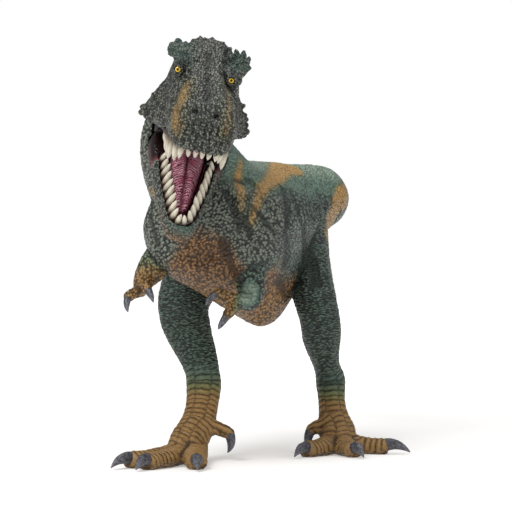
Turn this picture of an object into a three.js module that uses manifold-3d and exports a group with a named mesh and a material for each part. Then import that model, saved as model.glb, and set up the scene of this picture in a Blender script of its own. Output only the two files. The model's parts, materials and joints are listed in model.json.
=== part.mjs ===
// Toy theropod dinosaur, striding with its jaws wide open. Millimetres, +Z up.
// It faces -Y and its right side is at -X. The soles stand on Z = 0.
// Moulded pieces seat in each other's sockets, and the lower jaw turns on a pin.

import * as THREE from "three";
import { mergeVertices } from "three/addons/utils/BufferGeometryUtils.js";
import Module from "manifold-3d";

const wasm = await Module();
wasm.setup();

// Stance: spacing of the legs, chest to tail root, and height of the spine
const trackWidth = 50;
const bodyLength = 100;
const backHeight = 100;

// Clearances between mouldings, round the turning jaw, and overrun of a cut
const seatGap = 0.3;
const jawGap = 0.5;
const overrun = 4;

// Trunk, neck and tail
const trunkWidth = 50;
const trunkDepth = 60;
const neckWidth = 32;
const neckDepth = 30;
const tailLength = 122;
const tailWidth = 26;
const tailDepth = 26;
const tailPegRadius = 5;
const tailPegLength = 9;

// Legs and feet
const legWidth = 20;
const legDepth = 30;
const toeWidth = 8.4;
const toeHeight = 6.8;
const clawLength = 9.5;
const clawWidth = 4.6;
const spurLength = 6.8;
const spurWidth = 5;
const spurClawLength = 7;

// Arms and hands
const armLength = 19;
const armWidth = 10;
const fingerLength = 7.5;
const fingerWidth = 4;
const fingerClawLength = 5.8;

// Head, in its own frame with the jaw hinge at the origin
const skullLength = 50;
const skullWidth = 36;
const skullHeight = 30;
const browWidth = 5;
const eyeRadius = 2.2;
const nostrilRadius = 1.3;
const palateRise = 5;
const headYaw = 5;
const headPitch = 11;
const headRoll = 11.5;

// Lower jaw and tongue, in the jaw's frame with the hinge at the origin
const jawLength = 47;
const jawWidth = 27;
const jawDepth = 11;
const jawRim = 1.2;
const jawFloor = 7.4;
const jawOpening = 34;
const tongueHeight = 5.2;

// Hinge of the jaw
const pinRadius = 1.2;
const knuckleRadius = 4;
const knuckleWidth = 16;
const earWidth = 3.6;

// Teeth and the gum strips that carry them
const upperToothLength = 6.2;
const lowerToothLength = 4.8;
const toothWidth = 2.2;
const gumWidth = 2.6;
const gumHeight = 2.6;
const upperTeethPerSide = 9;
const lowerTeethPerSide = 10;

const degrees = Math.PI / 180;
const up = new THREE.Vector3(0, 0, 1);
const forward = new THREE.Vector3(0, -1, 0);
const backward = new THREE.Vector3(0, 1, 0);

// Rows of shares turned into millimetres, column by column
function scaled(rows, sizes) {
  return rows.map((row) => row.map((share, column) => share * sizes[column]));
}

// A smooth value between rows, where t runs from 0 to the last row
function between(rows, t) {
  const last = rows.length - 1;
  const start = Math.min(Math.floor(t), last - 1);
  const f = t - start;
  const pick = (row, column) => rows[Math.min(Math.max(row, 0), last)][column];
  return rows[0].map((_, column) => {
    const before = pick(start - 1, column);
    const from = pick(start, column);
    const to = pick(start + 1, column);
    const after = pick(start + 2, column);
    const leave = (to - before) / 2;
    const arrive = (after - from) / 2;
    const bend = 2 * (from - to) + leave + arrive;
    const swing = 3 * (to - from) - 2 * leave - arrive;
    return ((bend * f + swing) * f + leave) * f + from;
  });
}

// A point of an egg-shaped section at an angle from its side axis
function sectionPoint(row, angle, [squareAbove, squareBelow], grow) {
  const [, , , side, above, below, pinchAbove = 0, pinchBelow = 0] = row;
  const c = Math.cos(angle);
  const s = Math.sin(angle);
  const power = 2 / (s > 0 ? squareAbove : squareBelow);
  const bulge = (value) => Math.sign(value) * Math.abs(value) ** power;
  const pinch = 1 - (s > 0 ? pinchAbove : pinchBelow) * Math.abs(s);
  return [(side * pinch + grow) * bulge(c), ((s > 0 ? above : below) + grow) * bulge(s)];
}

// The axes of the section at t: along the spine, towards the reference, and to the side
function sectionFrame(rows, t, reference) {
  const step = 0.02;
  const last = rows.length - 1;
  const a = new THREE.Vector3(...between(rows, Math.max(t - step, 0)));
  const b = new THREE.Vector3(...between(rows, Math.min(t + step, last)));
  const along = b.sub(a).normalize();
  const rise = reference.clone().addScaledVector(along, -reference.dot(along)).normalize();
  return { along, rise, side: rise.clone().cross(along) };
}

// A closed body through egg-shaped sections: rows of [x, y, z, side, above, below, pinches]
function loft(rows, { steps, sides, reference = up, square = [2, 2], grow = 0 }) {
  const points = [];
  const faces = [];
  const rings = (rows.length - 1) * steps;
  for (let ring = 0; ring <= rings; ring++) {
    const t = ring / steps;
    const row = between(rows, t);
    const { along, rise, side } = sectionFrame(rows, t, reference);
    const centre = new THREE.Vector3(...row);
    centre.addScaledVector(along, ring === 0 ? -grow : ring === rings ? grow : 0);
    for (let corner = 0; corner < sides; corner++) {
      const [across, high] = sectionPoint(row, (corner / sides) * 2 * Math.PI, square, grow);
      const point = centre.clone().addScaledVector(side, across).addScaledVector(rise, high);
      points.push(point.x, point.y, point.z);
    }
    if (ring === 0) continue;
    for (let corner = 0; corner < sides; corner++) {
      const next = (corner + 1) % sides;
      const [a, b] = [(ring - 1) * sides + corner, (ring - 1) * sides + next];
      const [c, d] = [ring * sides + next, ring * sides + corner];
      faces.push(a, b, c, a, c, d);
    }
  }
  for (let corner = 1; corner < sides - 1; corner++) {
    const end = rings * sides;
    faces.push(0, corner + 1, corner, end, end + corner, end + corner + 1);
  }
  const geometry = new THREE.BufferGeometry();
  geometry.setAttribute("position", new THREE.Float32BufferAttribute(points, 3));
  geometry.setIndex(faces);
  return solid(geometry);
}

// A closed solid made of a geometry, placed by a matrix
function solid(geometry, matrix = new THREE.Matrix4()) {
  const bare = geometry.clone().applyMatrix4(matrix);
  bare.deleteAttribute("normal");
  bare.deleteAttribute("uv");
  const shape = mergeVertices(bare);
  return new wasm.Manifold(new wasm.Mesh({
    numProp: 3,
    vertProperties: new Float32Array(shape.attributes.position.array),
    triVerts: new Uint32Array(shape.index.array),
  }));
}

function moved(x, y, z) {
  return new THREE.Matrix4().makeTranslation(x, y, z);
}

function ball(radius, x, y, z, stretch = [1, 1, 1]) {
  const matrix = moved(x, y, z).scale(new THREE.Vector3(...stretch));
  return solid(new THREE.SphereGeometry(radius, 10, 7), matrix);
}

function block(width, depth, height, x, y, z) {
  return solid(new THREE.BoxGeometry(width, depth, height), moved(x, y, z));
}

// A round bar across the head, centred at x
function crossBar(radius, length, x) {
  const turned = moved(x, 0, 0).multiply(new THREE.Matrix4().makeRotationZ(Math.PI / 2));
  return solid(new THREE.CylinderGeometry(radius, radius, length, 16), turned);
}

function joined(solids) {
  return solids.reduce((whole, next) => whole.add(next));
}

// The one body that is left where a cut shaves off slivers
function largest(shape) {
  return shape.decompose().sort((a, b) => b.volume() - a.volume())[0];
}

// A hooked claw or tooth: a cone from its root that bends away from the curl
function horn(root, tip, curl, width, { sides, steps, taper, pointShare, flatShare }, grow = 0) {
  const rootPoint = new THREE.Vector3(...root);
  const tipPoint = new THREE.Vector3(...tip);
  const middle = rootPoint.clone().lerp(tipPoint, 0.5).addScaledVector(curl, -1);
  const path = new THREE.QuadraticBezierCurve3(rootPoint, middle, tipPoint);
  const rows = [];
  for (let step = 0; step <= steps; step++) {
    const f = step / steps;
    const thick = (width / 2) * Math.max(1 - f ** taper, pointShare);
    rows.push([...path.getPoint(f).toArray(), thick * flatShare, thick, thick]);
  }
  const reference = curl.lengthSq() > 0 ? curl.clone().negate().normalize() : backward;
  return loft(rows, { steps: 1, sides, reference, grow });
}

// Trunk and tail spine: x, y, z, side, above, below, pinch above, pinch below
const trunkShares = [
  [-0.36, -0.54, 0.83, 0.14, 0.12, 0.15, 0.05, 0.1],
  [-0.335, -0.49, 0.83, 0.35, 0.22, 0.28, 0.05, 0.05],
  [-0.295, -0.39, 0.8, 0.48, 0.33, 0.35, 0.1, 0],
  [-0.19, -0.23, 0.81, 0.5, 0.36, 0.46, 0.25, 0.15],
  [-0.06, -0.05, 0.82, 0.45, 0.355, 0.58, 0.3, 0.3],
  [0.07, 0.12, 0.82, 0.39, 0.36, 0.62, 0.3, 0.5],
  [0.19, 0.27, 0.84, 0.31, 0.335, 0.44, 0.25, 0.4],
  [0.31, 0.4, 0.88, 0.27, 0.27, 0.27, 0.2, 0.2],
];
const tailShares = [
  [0.42, 0, 0.91, 0.46, 0.5, 0.5, 0.15, 0.1],
  [0.52, 0.14, 0.92, 0.36, 0.43, 0.43, 0.15, 0.1],
  [0.53, 0.3, 0.9, 0.28, 0.35, 0.35, 0.15, 0.1],
  [0.44, 0.46, 0.87, 0.22, 0.27, 0.27, 0.1, 0.1],
  [0.29, 0.62, 0.85, 0.17, 0.2, 0.2, 0.1, 0.1],
  [0.12, 0.77, 0.85, 0.12, 0.145, 0.145, 0.1, 0.1],
  [0, 0.9, 0.87, 0.08, 0.09, 0.09, 0, 0],
  [-0.06, 1, 0.89, 0.035, 0.04, 0.04, 0, 0],
];
const tailRootShare = 0.52;
const tailPegTaperShare = 0.8;
const trunkSquareShares = [2, 2];
const neckShares = [
  [-0.22, -0.2, 0.84, 0.55, 0.5, 0.52],
  [-0.37, -0.34, 0.94, 0.54, 0.42, 0.54],
  [-0.475, -0.43, 1.04, 0.47, 0.36, 0.48],
  [-0.48, -0.46, 1.13, 0.4, 0.32, 0.34],
  [-0.45, -0.48, 1.21, 0.3, 0.24, 0.2],
];

// Legs from the hip plug to the ball of the foot: x, y, z, side, front, back
const legShares = {
  right: [
    [-0.08, 0.31, 0.93, 0.3, 0.28, 0.28],
    [-0.17, 0.27, 0.87, 0.44, 0.46, 0.44],
    [-0.27, 0.2, 0.78, 0.52, 0.56, 0.54],
    [-0.4, 0.09, 0.66, 0.53, 0.47, 0.5],
    [-0.51, -0.01, 0.54, 0.48, 0.32, 0.35],
    [-0.47, -0.03, 0.44, 0.41, 0.24, 0.29],
    [-0.405, -0.04, 0.36, 0.34, 0.2, 0.24],
    [-0.37, -0.055, 0.3, 0.3, 0.18, 0.2],
    [-0.36, -0.065, 0.255, 0.31, 0.19, 0.21],
    [-0.37, -0.1, 0.19, 0.28, 0.16, 0.17],
    [-0.4, -0.15, 0.125, 0.29, 0.17, 0.17],
    [-0.465, -0.21, 0.068, 0.33, 0.14, 0.18],
    [-0.52, -0.26, 0.045, 0.24, 0.08, 0.12],
  ],
  left: [
    [0.28, 0.33, 0.95, 0.3, 0.28, 0.28],
    [0.31, 0.29, 0.88, 0.4, 0.46, 0.44],
    [0.345, 0.24, 0.8, 0.43, 0.54, 0.52],
    [0.365, 0.17, 0.69, 0.4, 0.46, 0.48],
    [0.4, 0.1, 0.58, 0.39, 0.33, 0.37],
    [0.45, 0.09, 0.48, 0.36, 0.25, 0.3],
    [0.465, 0.13, 0.41, 0.35, 0.21, 0.27],
    [0.485, 0.18, 0.35, 0.27, 0.17, 0.21],
    [0.51, 0.225, 0.3, 0.23, 0.16, 0.17],
    [0.535, 0.25, 0.255, 0.28, 0.18, 0.19],
    [0.54, 0.235, 0.19, 0.24, 0.16, 0.16],
    [0.555, 0.21, 0.125, 0.27, 0.17, 0.17],
    [0.585, 0.175, 0.068, 0.34, 0.15, 0.17],
    [0.6, 0.12, 0.045, 0.22, 0.08, 0.12],
  ],
};

// Toes from the pad of the foot to the claw: places of three knuckles and the claw tip
const toeShares = {
  right: [
    [[-0.48, -0.19], [-0.65, -0.34], [-0.82, -0.415], [-0.92, -0.47]],
    [[-0.47, -0.18], [-0.59, -0.38], [-0.71, -0.47], [-0.775, -0.555]],
    [[-0.41, -0.18], [-0.41, -0.37], [-0.39, -0.465], [-0.38, -0.555]],
  ],
  left: [
    [[0.56, 0.21], [0.47, 0.07], [0.36, 0.005], [0.285, -0.06]],
    [[0.6, 0.22], [0.63, 0.06], [0.68, -0.005], [0.72, -0.065]],
    [[0.63, 0.2], [0.74, 0.14], [0.9, 0.125], [1.03, 0.12]],
  ],
};
const toeHeightShares = [0.46, 0.43, 0.38];
const toeGirthShares = [0.56, 0.51, 0.45];
const toeWaistShare = 0.9;
const toeKnuckleShare = 1.1;
const toeNoseShare = 0.28;
const toeNoseGirthShare = 0.63;
const clawDropShare = 0.16;
const clawRootShare = 0.25;
const clawCurlShare = 0.75;

// Claws and teeth: faces, steps, power of the taper, width at the point and flatness
const toeClaw = { sides: 6, steps: 4, taper: 1.4, pointShare: 0.12, flatShare: 0.9 };
const digitClaw = { sides: 6, steps: 4, taper: 1.4, pointShare: 0.12, flatShare: 1 };
const tooth = { sides: 5, steps: 2, taper: 2.2, pointShare: 0.3, flatShare: 1 };

// Spurs and fingers: girth from root to nose, place of the bend, reach of the nose, curl and claw
const digitGirthShares = [1, 0.93, 0.92, 0.45];
const digitBendShare = 0.58;
const digitNoseShare = 0.35;
const digitCurlShare = 0.42;
const digitClawShare = 0.75;

// Spur toes at the back of each foot: root, knuckle and the tip of the claw
const spurShares = {
  right: [[-0.31, -0.15, 0.12], [-0.19, -0.165, 0.1], [-0.2, -0.18, 0.03]],
  left: [[0.51, 0.2, 0.11], [0.4, 0.18, 0.085], [0.39, 0.165, 0.03]],
};

// Arms: a root on the trunk (row, angle), then elbow, wrist and two fingers from that root
const armShares = {
  right: {
    rootShares: [2.1, -28, 0.76],
    elbowShares: [-0.37, -0.19, -0.53],
    wristShares: [-0.41, -0.61, -0.7],
    fingerShares: [
      [[-0.61, -0.93, -0.81], [-0.6, -1.14, -1.2]],
      [[-0.31, -0.93, -0.67], [-0.16, -1.08, -0.98]],
    ],
  },
  left: {
    rootShares: [2.05, 224, 0.72],
    elbowShares: [0.06, -0.2, -0.74],
    wristShares: [-0.17, -0.46, -0.74],
    fingerShares: [
      [[-0.49, -0.62, -0.6], [-0.67, -0.67, -0.78]],
      [[-0.27, -0.62, -0.87], [-0.38, -0.67, -1.04]],
    ],
  },
};
const upperArmShare = 0.6;
const foreArmShare = 0.5;
const palmShare = 1.25;
const armGirthShares = [
  [0.56, 0.56], [0.53, 0.53], [0.38, 0.38], [0.295, 0.31], [0.25, 0.25], [0.2, 0.175],
];

// Place of the jaw hinge, and the skull from its neck plug to the snout: y, z, side, above, below, pinches
const hingeShares = [-0.42, -0.5, 1.12];
const skullShares = [
  [0.22, 0.46, 0.2, 0.2, 0.2, 0.1, 0],
  [0.1, 0.46, 0.29, 0.4, 0.34, 0.15, 0],
  [-0.06, 0.47, 0.32, 0.5, 0.4, 0.22, 0],
  [-0.2, 0.48, 0.32, 0.53, 0.44, 0.25, 0],
  [-0.36, 0.47, 0.315, 0.43, 0.48, 0.32, 0],
  [-0.55, 0.4, 0.305, 0.34, 0.45, 0.52, 0],
  [-0.75, 0.33, 0.3, 0.28, 0.4, 0.45, 0],
  [-0.88, 0.28, 0.275, 0.245, 0.34, 0.25, 0],
  [-0.95, 0.265, 0.245, 0.21, 0.325, 0.1, 0],
  [-0.985, 0.262, 0.19, 0.155, 0.3, 0, 0],
  [-1, 0.26, 0.11, 0.085, 0.23, 0, 0],
];
const skullSquareShares = [2.8, 5];
const cheekShares = [
  [0.1, 0.2, 0.34, 0.4, 0.1, 0.3, 0],
  [-0.04, 0.11, 0.485, 0.66, 0.1, 0.56, 0],
  [-0.2, 0.11, 0.465, 0.66, 0.12, 0.55, 0],
  [-0.4, 0.13, 0.37, 0.5, 0.16, 0.48, 0],
  [-0.58, 0.14, 0.29, 0.28, 0.17, 0.3, 0],
];
const cheekSquareShares = [2.6, 3];
const browShares = [
  [0.24, -0.06, 0.79, 0.5, 0.6, 0.7],
  [0.27, -0.25, 0.82, 0.48, 0.6, 0.7],
  [0.265, -0.4, 0.78, 0.46, 0.6, 0.6],
  [0.19, -0.56, 0.6, 0.27, 0.3, 0.38],
];
const eyeShares = [0.24, -0.42, 0.665];
const socketShares = [1.3, 0.6, 0.8];
const socketStretchShares = [1, 1.4, 0.9];
const nostrilShares = [0.12, -0.965, 0.37];
const nostrilStretchShares = [1, 1, 1.4];
const knuckleWebShare = 0.25;

// Rows of teeth, each a line from the front centre to the back, and the palate: y, side
const upperRowShares = [[0, -0.93], [0.135, -0.89], [0.225, -0.78], [0.255, -0.62], [0.265, -0.45]];
const lowerRowShares = [[0, -0.93], [0.07, -0.915], [0.125, -0.82], [0.215, -0.6], [0.29, -0.3]];
const upperToothShares = [0.5, 0.5, 0.55, 0.8, 1, 1, 0.95, 0.85, 0.7];
const lowerToothShares = [0.55, 0.7, 0.85, 1, 0.95, 1, 0.95, 0.9, 0.75, 0.6];
const upperGumShare = 0.15;
const lowerGumShare = 0.4;
const gumSquareShares = [3, 3];
const toothRootShare = 0.1;
const toothLeanShare = 0.1;
const toothCurlShare = 0.05;
const smallToothShare = 0.75;
const toothSpreadPower = 1.15;
const palateShares = [[-0.82, 0.09], [-0.7, 0.16], [-0.45, 0.2], [-0.16, 0.22]];
const palateSquareShares = [2.6, 2.6];

// Lower jaw: y, z, side, above, below. Its trough: y, side. Tongue: y, side, above, below
const jawShares = [
  [-0.02, -0.4, 0.4, 0.35, 0.35],
  [-0.12, -0.5, 0.48, 0.45, 0.45],
  [-0.3, -0.58, 0.44, 0.5, 0.5],
  [-0.5, -0.58, 0.355, 0.5, 0.46],
  [-0.7, -0.55, 0.275, 0.5, 0.4],
  [-0.86, -0.48, 0.22, 0.5, 0.36],
  [-0.97, -0.4, 0.16, 0.42, 0.3],
  [-1, -0.36, 0.09, 0.3, 0.2],
];
const jawSquareShares = [5, 2.6];
const troughShares = [[-0.1, 0.26], [-0.35, 0.21], [-0.65, 0.14], [-0.84, 0.07]];
const troughSquareShares = [4, 4];
const tongueShares = [
  [-0.2, 0.36, 0.4, 0.3],
  [-0.27, 0.42, 0.75, 0.4],
  [-0.45, 0.44, 0.95, 0.4],
  [-0.75, 0.32, 0.8, 0.4],
  [-1, 0.2, 0.5, 0.3],
  [-1.1, 0.1, 0.25, 0.2],
];
const tongueSquareShares = [2.6, 3];
const tongueLengthShare = 0.68;
const tongueWidthShare = 0.64;

const placeSizes = [trackWidth, bodyLength, backHeight];

function place(shares) {
  return new THREE.Vector3(...shares.map((share, axis) => share * placeSizes[axis]));
}

// Trunk rows, and tail rows that carry on from the tail root
const trunkRows = scaled(trunkShares, [...placeSizes, trunkWidth, trunkDepth, trunkDepth, 1, 1]);
const tailRows = scaled(
  tailShares,
  [trackWidth, tailLength, backHeight, tailWidth, tailDepth, tailDepth, 1, 1],
);
for (const row of tailRows) row[1] += tailRootShare * bodyLength;
const spineRows = [...trunkRows, ...tailRows];
const spineOptions = { steps: 3, sides: 16, reference: up, square: trunkSquareShares };

// The half of space ahead of the tail joint, out to the reach of the body
function aheadOfTail(shift) {
  const { along } = sectionFrame(spineRows, trunkRows.length, up);
  const reach = 2 * (bodyLength + trunkWidth + backHeight);
  const face = new THREE.Vector3(...tailRows[0]).addScaledVector(along, shift);
  const turn = new THREE.Quaternion().setFromUnitVectors(backward, along);
  const centre = face.clone().addScaledVector(along, -reach / 2);
  const matrix = new THREE.Matrix4().compose(centre, turn, new THREE.Vector3(1, 1, 1));
  return solid(new THREE.BoxGeometry(reach, reach, reach), matrix);
}

function tailPeg(grow) {
  const { along } = sectionFrame(spineRows, trunkRows.length, up);
  const root = new THREE.Vector3(...tailRows[0]).addScaledVector(along, overrun / 2);
  const end = root.clone().addScaledVector(along, -tailPegLength - overrun / 2);
  const girth = [tailPegRadius, tailPegRadius, tailPegRadius];
  const tip = girth.map((radius) => radius * tailPegTaperShare);
  const rows = [[...root.toArray(), ...girth], [...end.toArray(), ...tip]];
  return loft(rows, { steps: 1, sides: 16, reference: up, grow });
}

// A row of a loft with its three radii times a share
function girthTimes(row, share) {
  return row.map((value, column) => (column < 3 ? value : value * share));
}

// One toe with its claw, from the ball of the foot to the ground
function toe(joints) {
  const [ball, knee, knuckle] = joints.slice(0, 3).map(([x, y], index) => [
    x * trackWidth, y * bodyLength, toeHeightShares[index] * toeHeight,
    toeGirthShares[index] * toeWidth,
    toeGirthShares[index] * toeHeight,
    toeGirthShares[index] * toeHeight,
  ]);
  const waist = girthTimes(knee.map((value, column) => (value + knuckle[column]) / 2), toeWaistShare);
  const end = new THREE.Vector3(...knuckle);
  const clawTip = place([...joints[3], 0]);
  const reachOut = clawTip.sub(end).setZ(0).normalize();
  const root = end.clone().addScaledVector(reachOut, -clawRootShare * clawWidth);
  const point = end.clone().addScaledVector(reachOut, clawLength).setZ(clawDropShare * clawWidth);
  const nose = end.clone().addScaledVector(reachOut, toeNoseShare * toeWidth);
  const body = loft([
    ball, knee, waist, girthTimes(knuckle, toeKnuckleShare),
    girthTimes([...nose.toArray(), ...knuckle.slice(3)], toeNoseGirthShare),
  ], { steps: 1, sides: 10 });
  const curl = new THREE.Vector3(0, 0, -clawCurlShare * clawWidth);
  return body.add(horn(root.toArray(), point.toArray(), curl, clawWidth, toeClaw));
}

// A short toe or finger of a width, and its claw, which leaves the knuckle along the drop
function digit(root, aim, length, drop, clawReach, width) {
  const reach = aim.clone().sub(root).normalize();
  const knuckle = root.clone().addScaledVector(reach, length);
  const places = [
    root, root.clone().lerp(knuckle, digitBendShare), knuckle,
    knuckle.clone().addScaledVector(reach, digitNoseShare * width),
  ];
  const rows = places.map((point, index) => {
    const half = digitGirthShares[index] * (width / 2);
    return [...point.toArray(), half, half, half];
  });
  const tip = knuckle.clone().addScaledVector(drop.normalize(), clawReach);
  const curl = reach.multiplyScalar(-digitCurlShare * width);
  return loft(rows, { steps: 1, sides: 8 })
    .add(horn(knuckle.toArray(), tip.toArray(), curl, digitClawShare * width, digitClaw));
}

// The short toe that hangs at the side of the foot
function spur(shares) {
  const [root, aim, tip] = shares.map(place);
  return digit(root, aim, spurLength, tip.sub(aim), spurClawLength, spurWidth);
}

// Legs
const legOptions = { steps: 2, sides: 12, reference: forward };

function legRows(name) {
  return scaled(legShares[name], [...placeSizes, legWidth, legDepth, legDepth]);
}

function leg(name) {
  const limb = loft(legRows(name), legOptions);
  const foot = joined([limb, ...toeShares[name].map(toe), spur(spurShares[name])]);
  const reach = 4 * (trackWidth + bodyLength);
  const ground = block(reach, reach, backHeight, 0, 0, -backHeight / 2);
  return largest(foot.subtract(ground));
}

// Arms
function armRoot([row, angle, depthShare]) {
  const section = between(trunkRows, row);
  const { rise, side } = sectionFrame(trunkRows, row, up);
  const [across, high] = sectionPoint(section, angle * degrees, spineOptions.square, 0);
  return new THREE.Vector3(...section)
    .addScaledVector(side, across * depthShare)
    .addScaledVector(rise, high * depthShare);
}

// A place on an arm from its root, in shares of the arm
function armPlace(start, shares) {
  return start.clone().add(new THREE.Vector3(...shares).multiplyScalar(armLength));
}

function armRows(name) {
  const { rootShares, elbowShares, wristShares } = armShares[name];
  const shoulder = armRoot(rootShares);
  const elbow = armPlace(shoulder, elbowShares);
  const wrist = armPlace(shoulder, wristShares);
  const places = [
    shoulder, shoulder.clone().lerp(elbow, upperArmShare), elbow,
    elbow.clone().lerp(wrist, foreArmShare), wrist, elbow.clone().lerp(wrist, palmShare),
  ];
  return places.map((point, index) => {
    const [side, depth] = armGirthShares[index].map((share) => share * armWidth);
    return [...point.toArray(), side, depth, depth];
  });
}

const armFront = new THREE.Vector3(0.35, -0.9, 0.25);
const armOptions = { steps: 2, sides: 10, reference: armFront };

function finger(shoulder, wrist, [knuckleShares, tipShares]) {
  const aim = armPlace(shoulder, knuckleShares);
  const drop = armPlace(shoulder, tipShares).sub(aim);
  return digit(wrist, aim, fingerLength, drop, fingerClawLength, fingerWidth);
}

function arm(name) {
  const rows = armRows(name);
  const [shoulder, wrist] = [rows[0], rows[4]].map((row) => new THREE.Vector3(...row));
  const fingers = armShares[name].fingerShares.map((shares) => finger(shoulder, wrist, shares));
  return largest(joined([loft(rows, armOptions), ...fingers]));
}

// Head frame: the hinge of the jaw, with the snout along -Y
const hingePlace = place(hingeShares);
const headTurn = new THREE.Euler(
  headPitch * degrees, headRoll * degrees, headYaw * degrees, "ZXY",
);
const headMatrix = new THREE.Matrix4().compose(
  hingePlace, new THREE.Quaternion().setFromEuler(headTurn), new THREE.Vector3(1, 1, 1),
);
const jawMatrix = headMatrix.clone()
  .multiply(new THREE.Matrix4().makeRotationX(jawOpening * degrees));

// Rows along the head's middle plane from [y, z, side, above, below, pinches]
function headRows(shares, length, height, width) {
  return shares.map(([y, z, side, above, below, ...pinches]) => [
    0, y * length, z * height, side * width, above * height, below * height, ...pinches,
  ]);
}

function mirrored(build) {
  return [-1, 1].map(build);
}

// Skull, with brows, eyes, nostrils, cheek corners and the knuckle of the hinge
function skullOutside(grow) {
  const rows = headRows(skullShares, skullLength, skullHeight, skullWidth);
  return loft(rows, { steps: 2, sides: 18, square: skullSquareShares, grow });
}

function brow(side, grow) {
  const rows = scaled(
    browShares, [side * skullWidth, skullLength, skullHeight, browWidth, browWidth, browWidth],
  );
  return loft(rows, { steps: 2, sides: 8, grow });
}

function cheeks(grow) {
  const rows = headRows(cheekShares, skullLength, skullHeight, skullWidth);
  return loft(rows, { steps: 2, sides: 16, square: cheekSquareShares, grow });
}

function skullShell(grow) {
  return joined([
    skullOutside(grow),
    ...mirrored((side) => brow(side, grow)),
    cheeks(grow),
  ]);
}

function hingeKnuckle(grow) {
  const webHeight = knuckleWebShare * skullHeight;
  const web = block(
    knuckleWidth + 2 * grow, 2 * knuckleRadius + 2 * grow, webHeight + grow, 0, 0, webHeight / 2,
  );
  return crossBar(knuckleRadius + grow, knuckleWidth + 2 * grow, 0).add(web);
}

// A line of [x, y] shares as a smooth path, at a height
function rowPath(shares, width, length, height) {
  const points = shares.map(([x, y]) => new THREE.Vector3(x * width, y * length, height));
  return new THREE.CatmullRomCurve3(points);
}

// The gum strip of both sides, a bent bar whose ends close at the back
function gumStrip(path, { grow = 0, above = 0, below = 0 } = {}) {
  const half = path.getPoints(2 * (path.points.length - 1));
  const other = half.slice(1).map((point) => new THREE.Vector3(-point.x, point.y, point.z));
  const rows = [...other.reverse(), ...half].map((point) =>
    [...point.toArray(), gumWidth / 2, gumHeight / 2 + above, gumHeight / 2 + below]);
  return loft(rows, { steps: 1, sides: 6, square: gumSquareShares, grow });
}

// Teeth along a gum strip, leaning in and hooked towards the throat
function teeth(path, count, length, lengthShares, drop) {
  const solids = [];
  for (let index = 0; index < count; index++) {
    const seat = path.getPointAt(((index + 0.5) / count) ** toothSpreadPower);
    const long = length * lengthShares[index];
    const wide = toothWidth * (smallToothShare + (1 - smallToothShare) * lengthShares[index]);
    for (const side of [-1, 1]) {
      const root = new THREE.Vector3(side * seat.x, seat.y, seat.z + drop * toothRootShare * gumHeight);
      const lean = new THREE.Vector3(0, toothLeanShare * long, drop * (long + gumHeight / 2));
      const curl = new THREE.Vector3(0, toothCurlShare * long, 0);
      solids.push(horn(root.toArray(), root.add(lean).toArray(), curl, wide, tooth));
    }
  }
  return joined(solids);
}

const upperPath = rowPath(upperRowShares, skullWidth, skullLength, upperGumShare * gumHeight);
const lowerPath = rowPath(lowerRowShares, jawWidth, jawLength, -jawRim - lowerGumShare * gumHeight);

// Both gum strips with their teeth
function upperTeeth() {
  return gumStrip(upperPath)
    .add(teeth(upperPath, upperTeethPerSide, upperToothLength, upperToothShares, -1));
}

function lowerTeeth() {
  return gumStrip(lowerPath)
    .add(teeth(lowerPath, lowerTeethPerSide, lowerToothLength, lowerToothShares, 1));
}

// The groove of each strip is open towards the teeth
function upperGroove() {
  return gumStrip(upperPath, { grow: seatGap, below: skullHeight / 2 });
}

function lowerGroove() {
  return gumStrip(lowerPath, { grow: seatGap, above: jawDepth });
}

function palate() {
  const rows = palateShares.map(([y, side]) => [
    0, y * skullLength, 0, side * skullWidth, palateRise, palateRise + overrun,
  ]);
  return loft(rows, { steps: 2, sides: 14, square: palateSquareShares });
}

function skull() {
  const [eyeX, eyeY, eyeZ] = [skullWidth, skullLength, skullHeight].map((size, axis) =>
    size * eyeShares[axis]);
  const [socketWide, socketOut, socketAhead] = socketShares.map((share) => share * eyeRadius);
  const eyes = mirrored((side) => ball(eyeRadius, side * eyeX, eyeY, eyeZ));
  const sockets = mirrored((side) => ball(
    socketWide, side * (eyeX + socketOut), eyeY - socketAhead, eyeZ, socketStretchShares,
  ));
  const nostrils = mirrored((side) => ball(
    nostrilRadius, side * nostrilShares[0] * skullWidth, nostrilShares[1] * skullLength,
    nostrilShares[2] * skullHeight, nostrilStretchShares,
  ));
  const hollows = joined([...sockets, ...nostrils, palate()]);
  const earCuts = joined(mirrored((side) => crossBar(
    knuckleRadius + jawGap, earWidth + 2 * jawGap, side * earPlace(),
  )));
  const shell = joined([skullShell(0).subtract(hollows), ...eyes, hingeKnuckle(0)]);
  return largest(shell
    .subtract(earCuts)
    .subtract(upperGroove())
    .subtract(crossBar(pinRadius + seatGap, pinLength() + 2 * seatGap, 0)));
}

// Ears of the jaw stand outside the knuckle, with the pin through all three
function earPlace() {
  return knuckleWidth / 2 + jawGap + earWidth / 2;
}

function pinLength() {
  return knuckleWidth + 2 * jawGap + 2 * earWidth - pinRadius;
}

// Lower jaw, a trough with two ears at the hinge
function jawOutside(grow) {
  const rows = headRows(jawShares, jawLength, jawDepth, jawWidth);
  const body = loft(rows, { steps: 2, sides: 18, square: jawSquareShares, grow });
  const above = block(
    2 * jawWidth, 2 * jawLength, jawDepth, 0, -jawLength / 2, jawDepth / 2 - jawRim + grow,
  );
  const ears = mirrored((side) =>
    crossBar(knuckleRadius + grow, earWidth + 2 * grow, side * earPlace()));
  const knuckleRoom = block(
    knuckleWidth + 2 * jawGap, 2 * knuckleRadius + 2 * jawGap, 4 * knuckleRadius, 0, 0, 0,
  );
  const open = grow > 0 ? body.subtract(above) : body.subtract(above).subtract(knuckleRoom);
  return joined([open, ...ears]);
}

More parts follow.
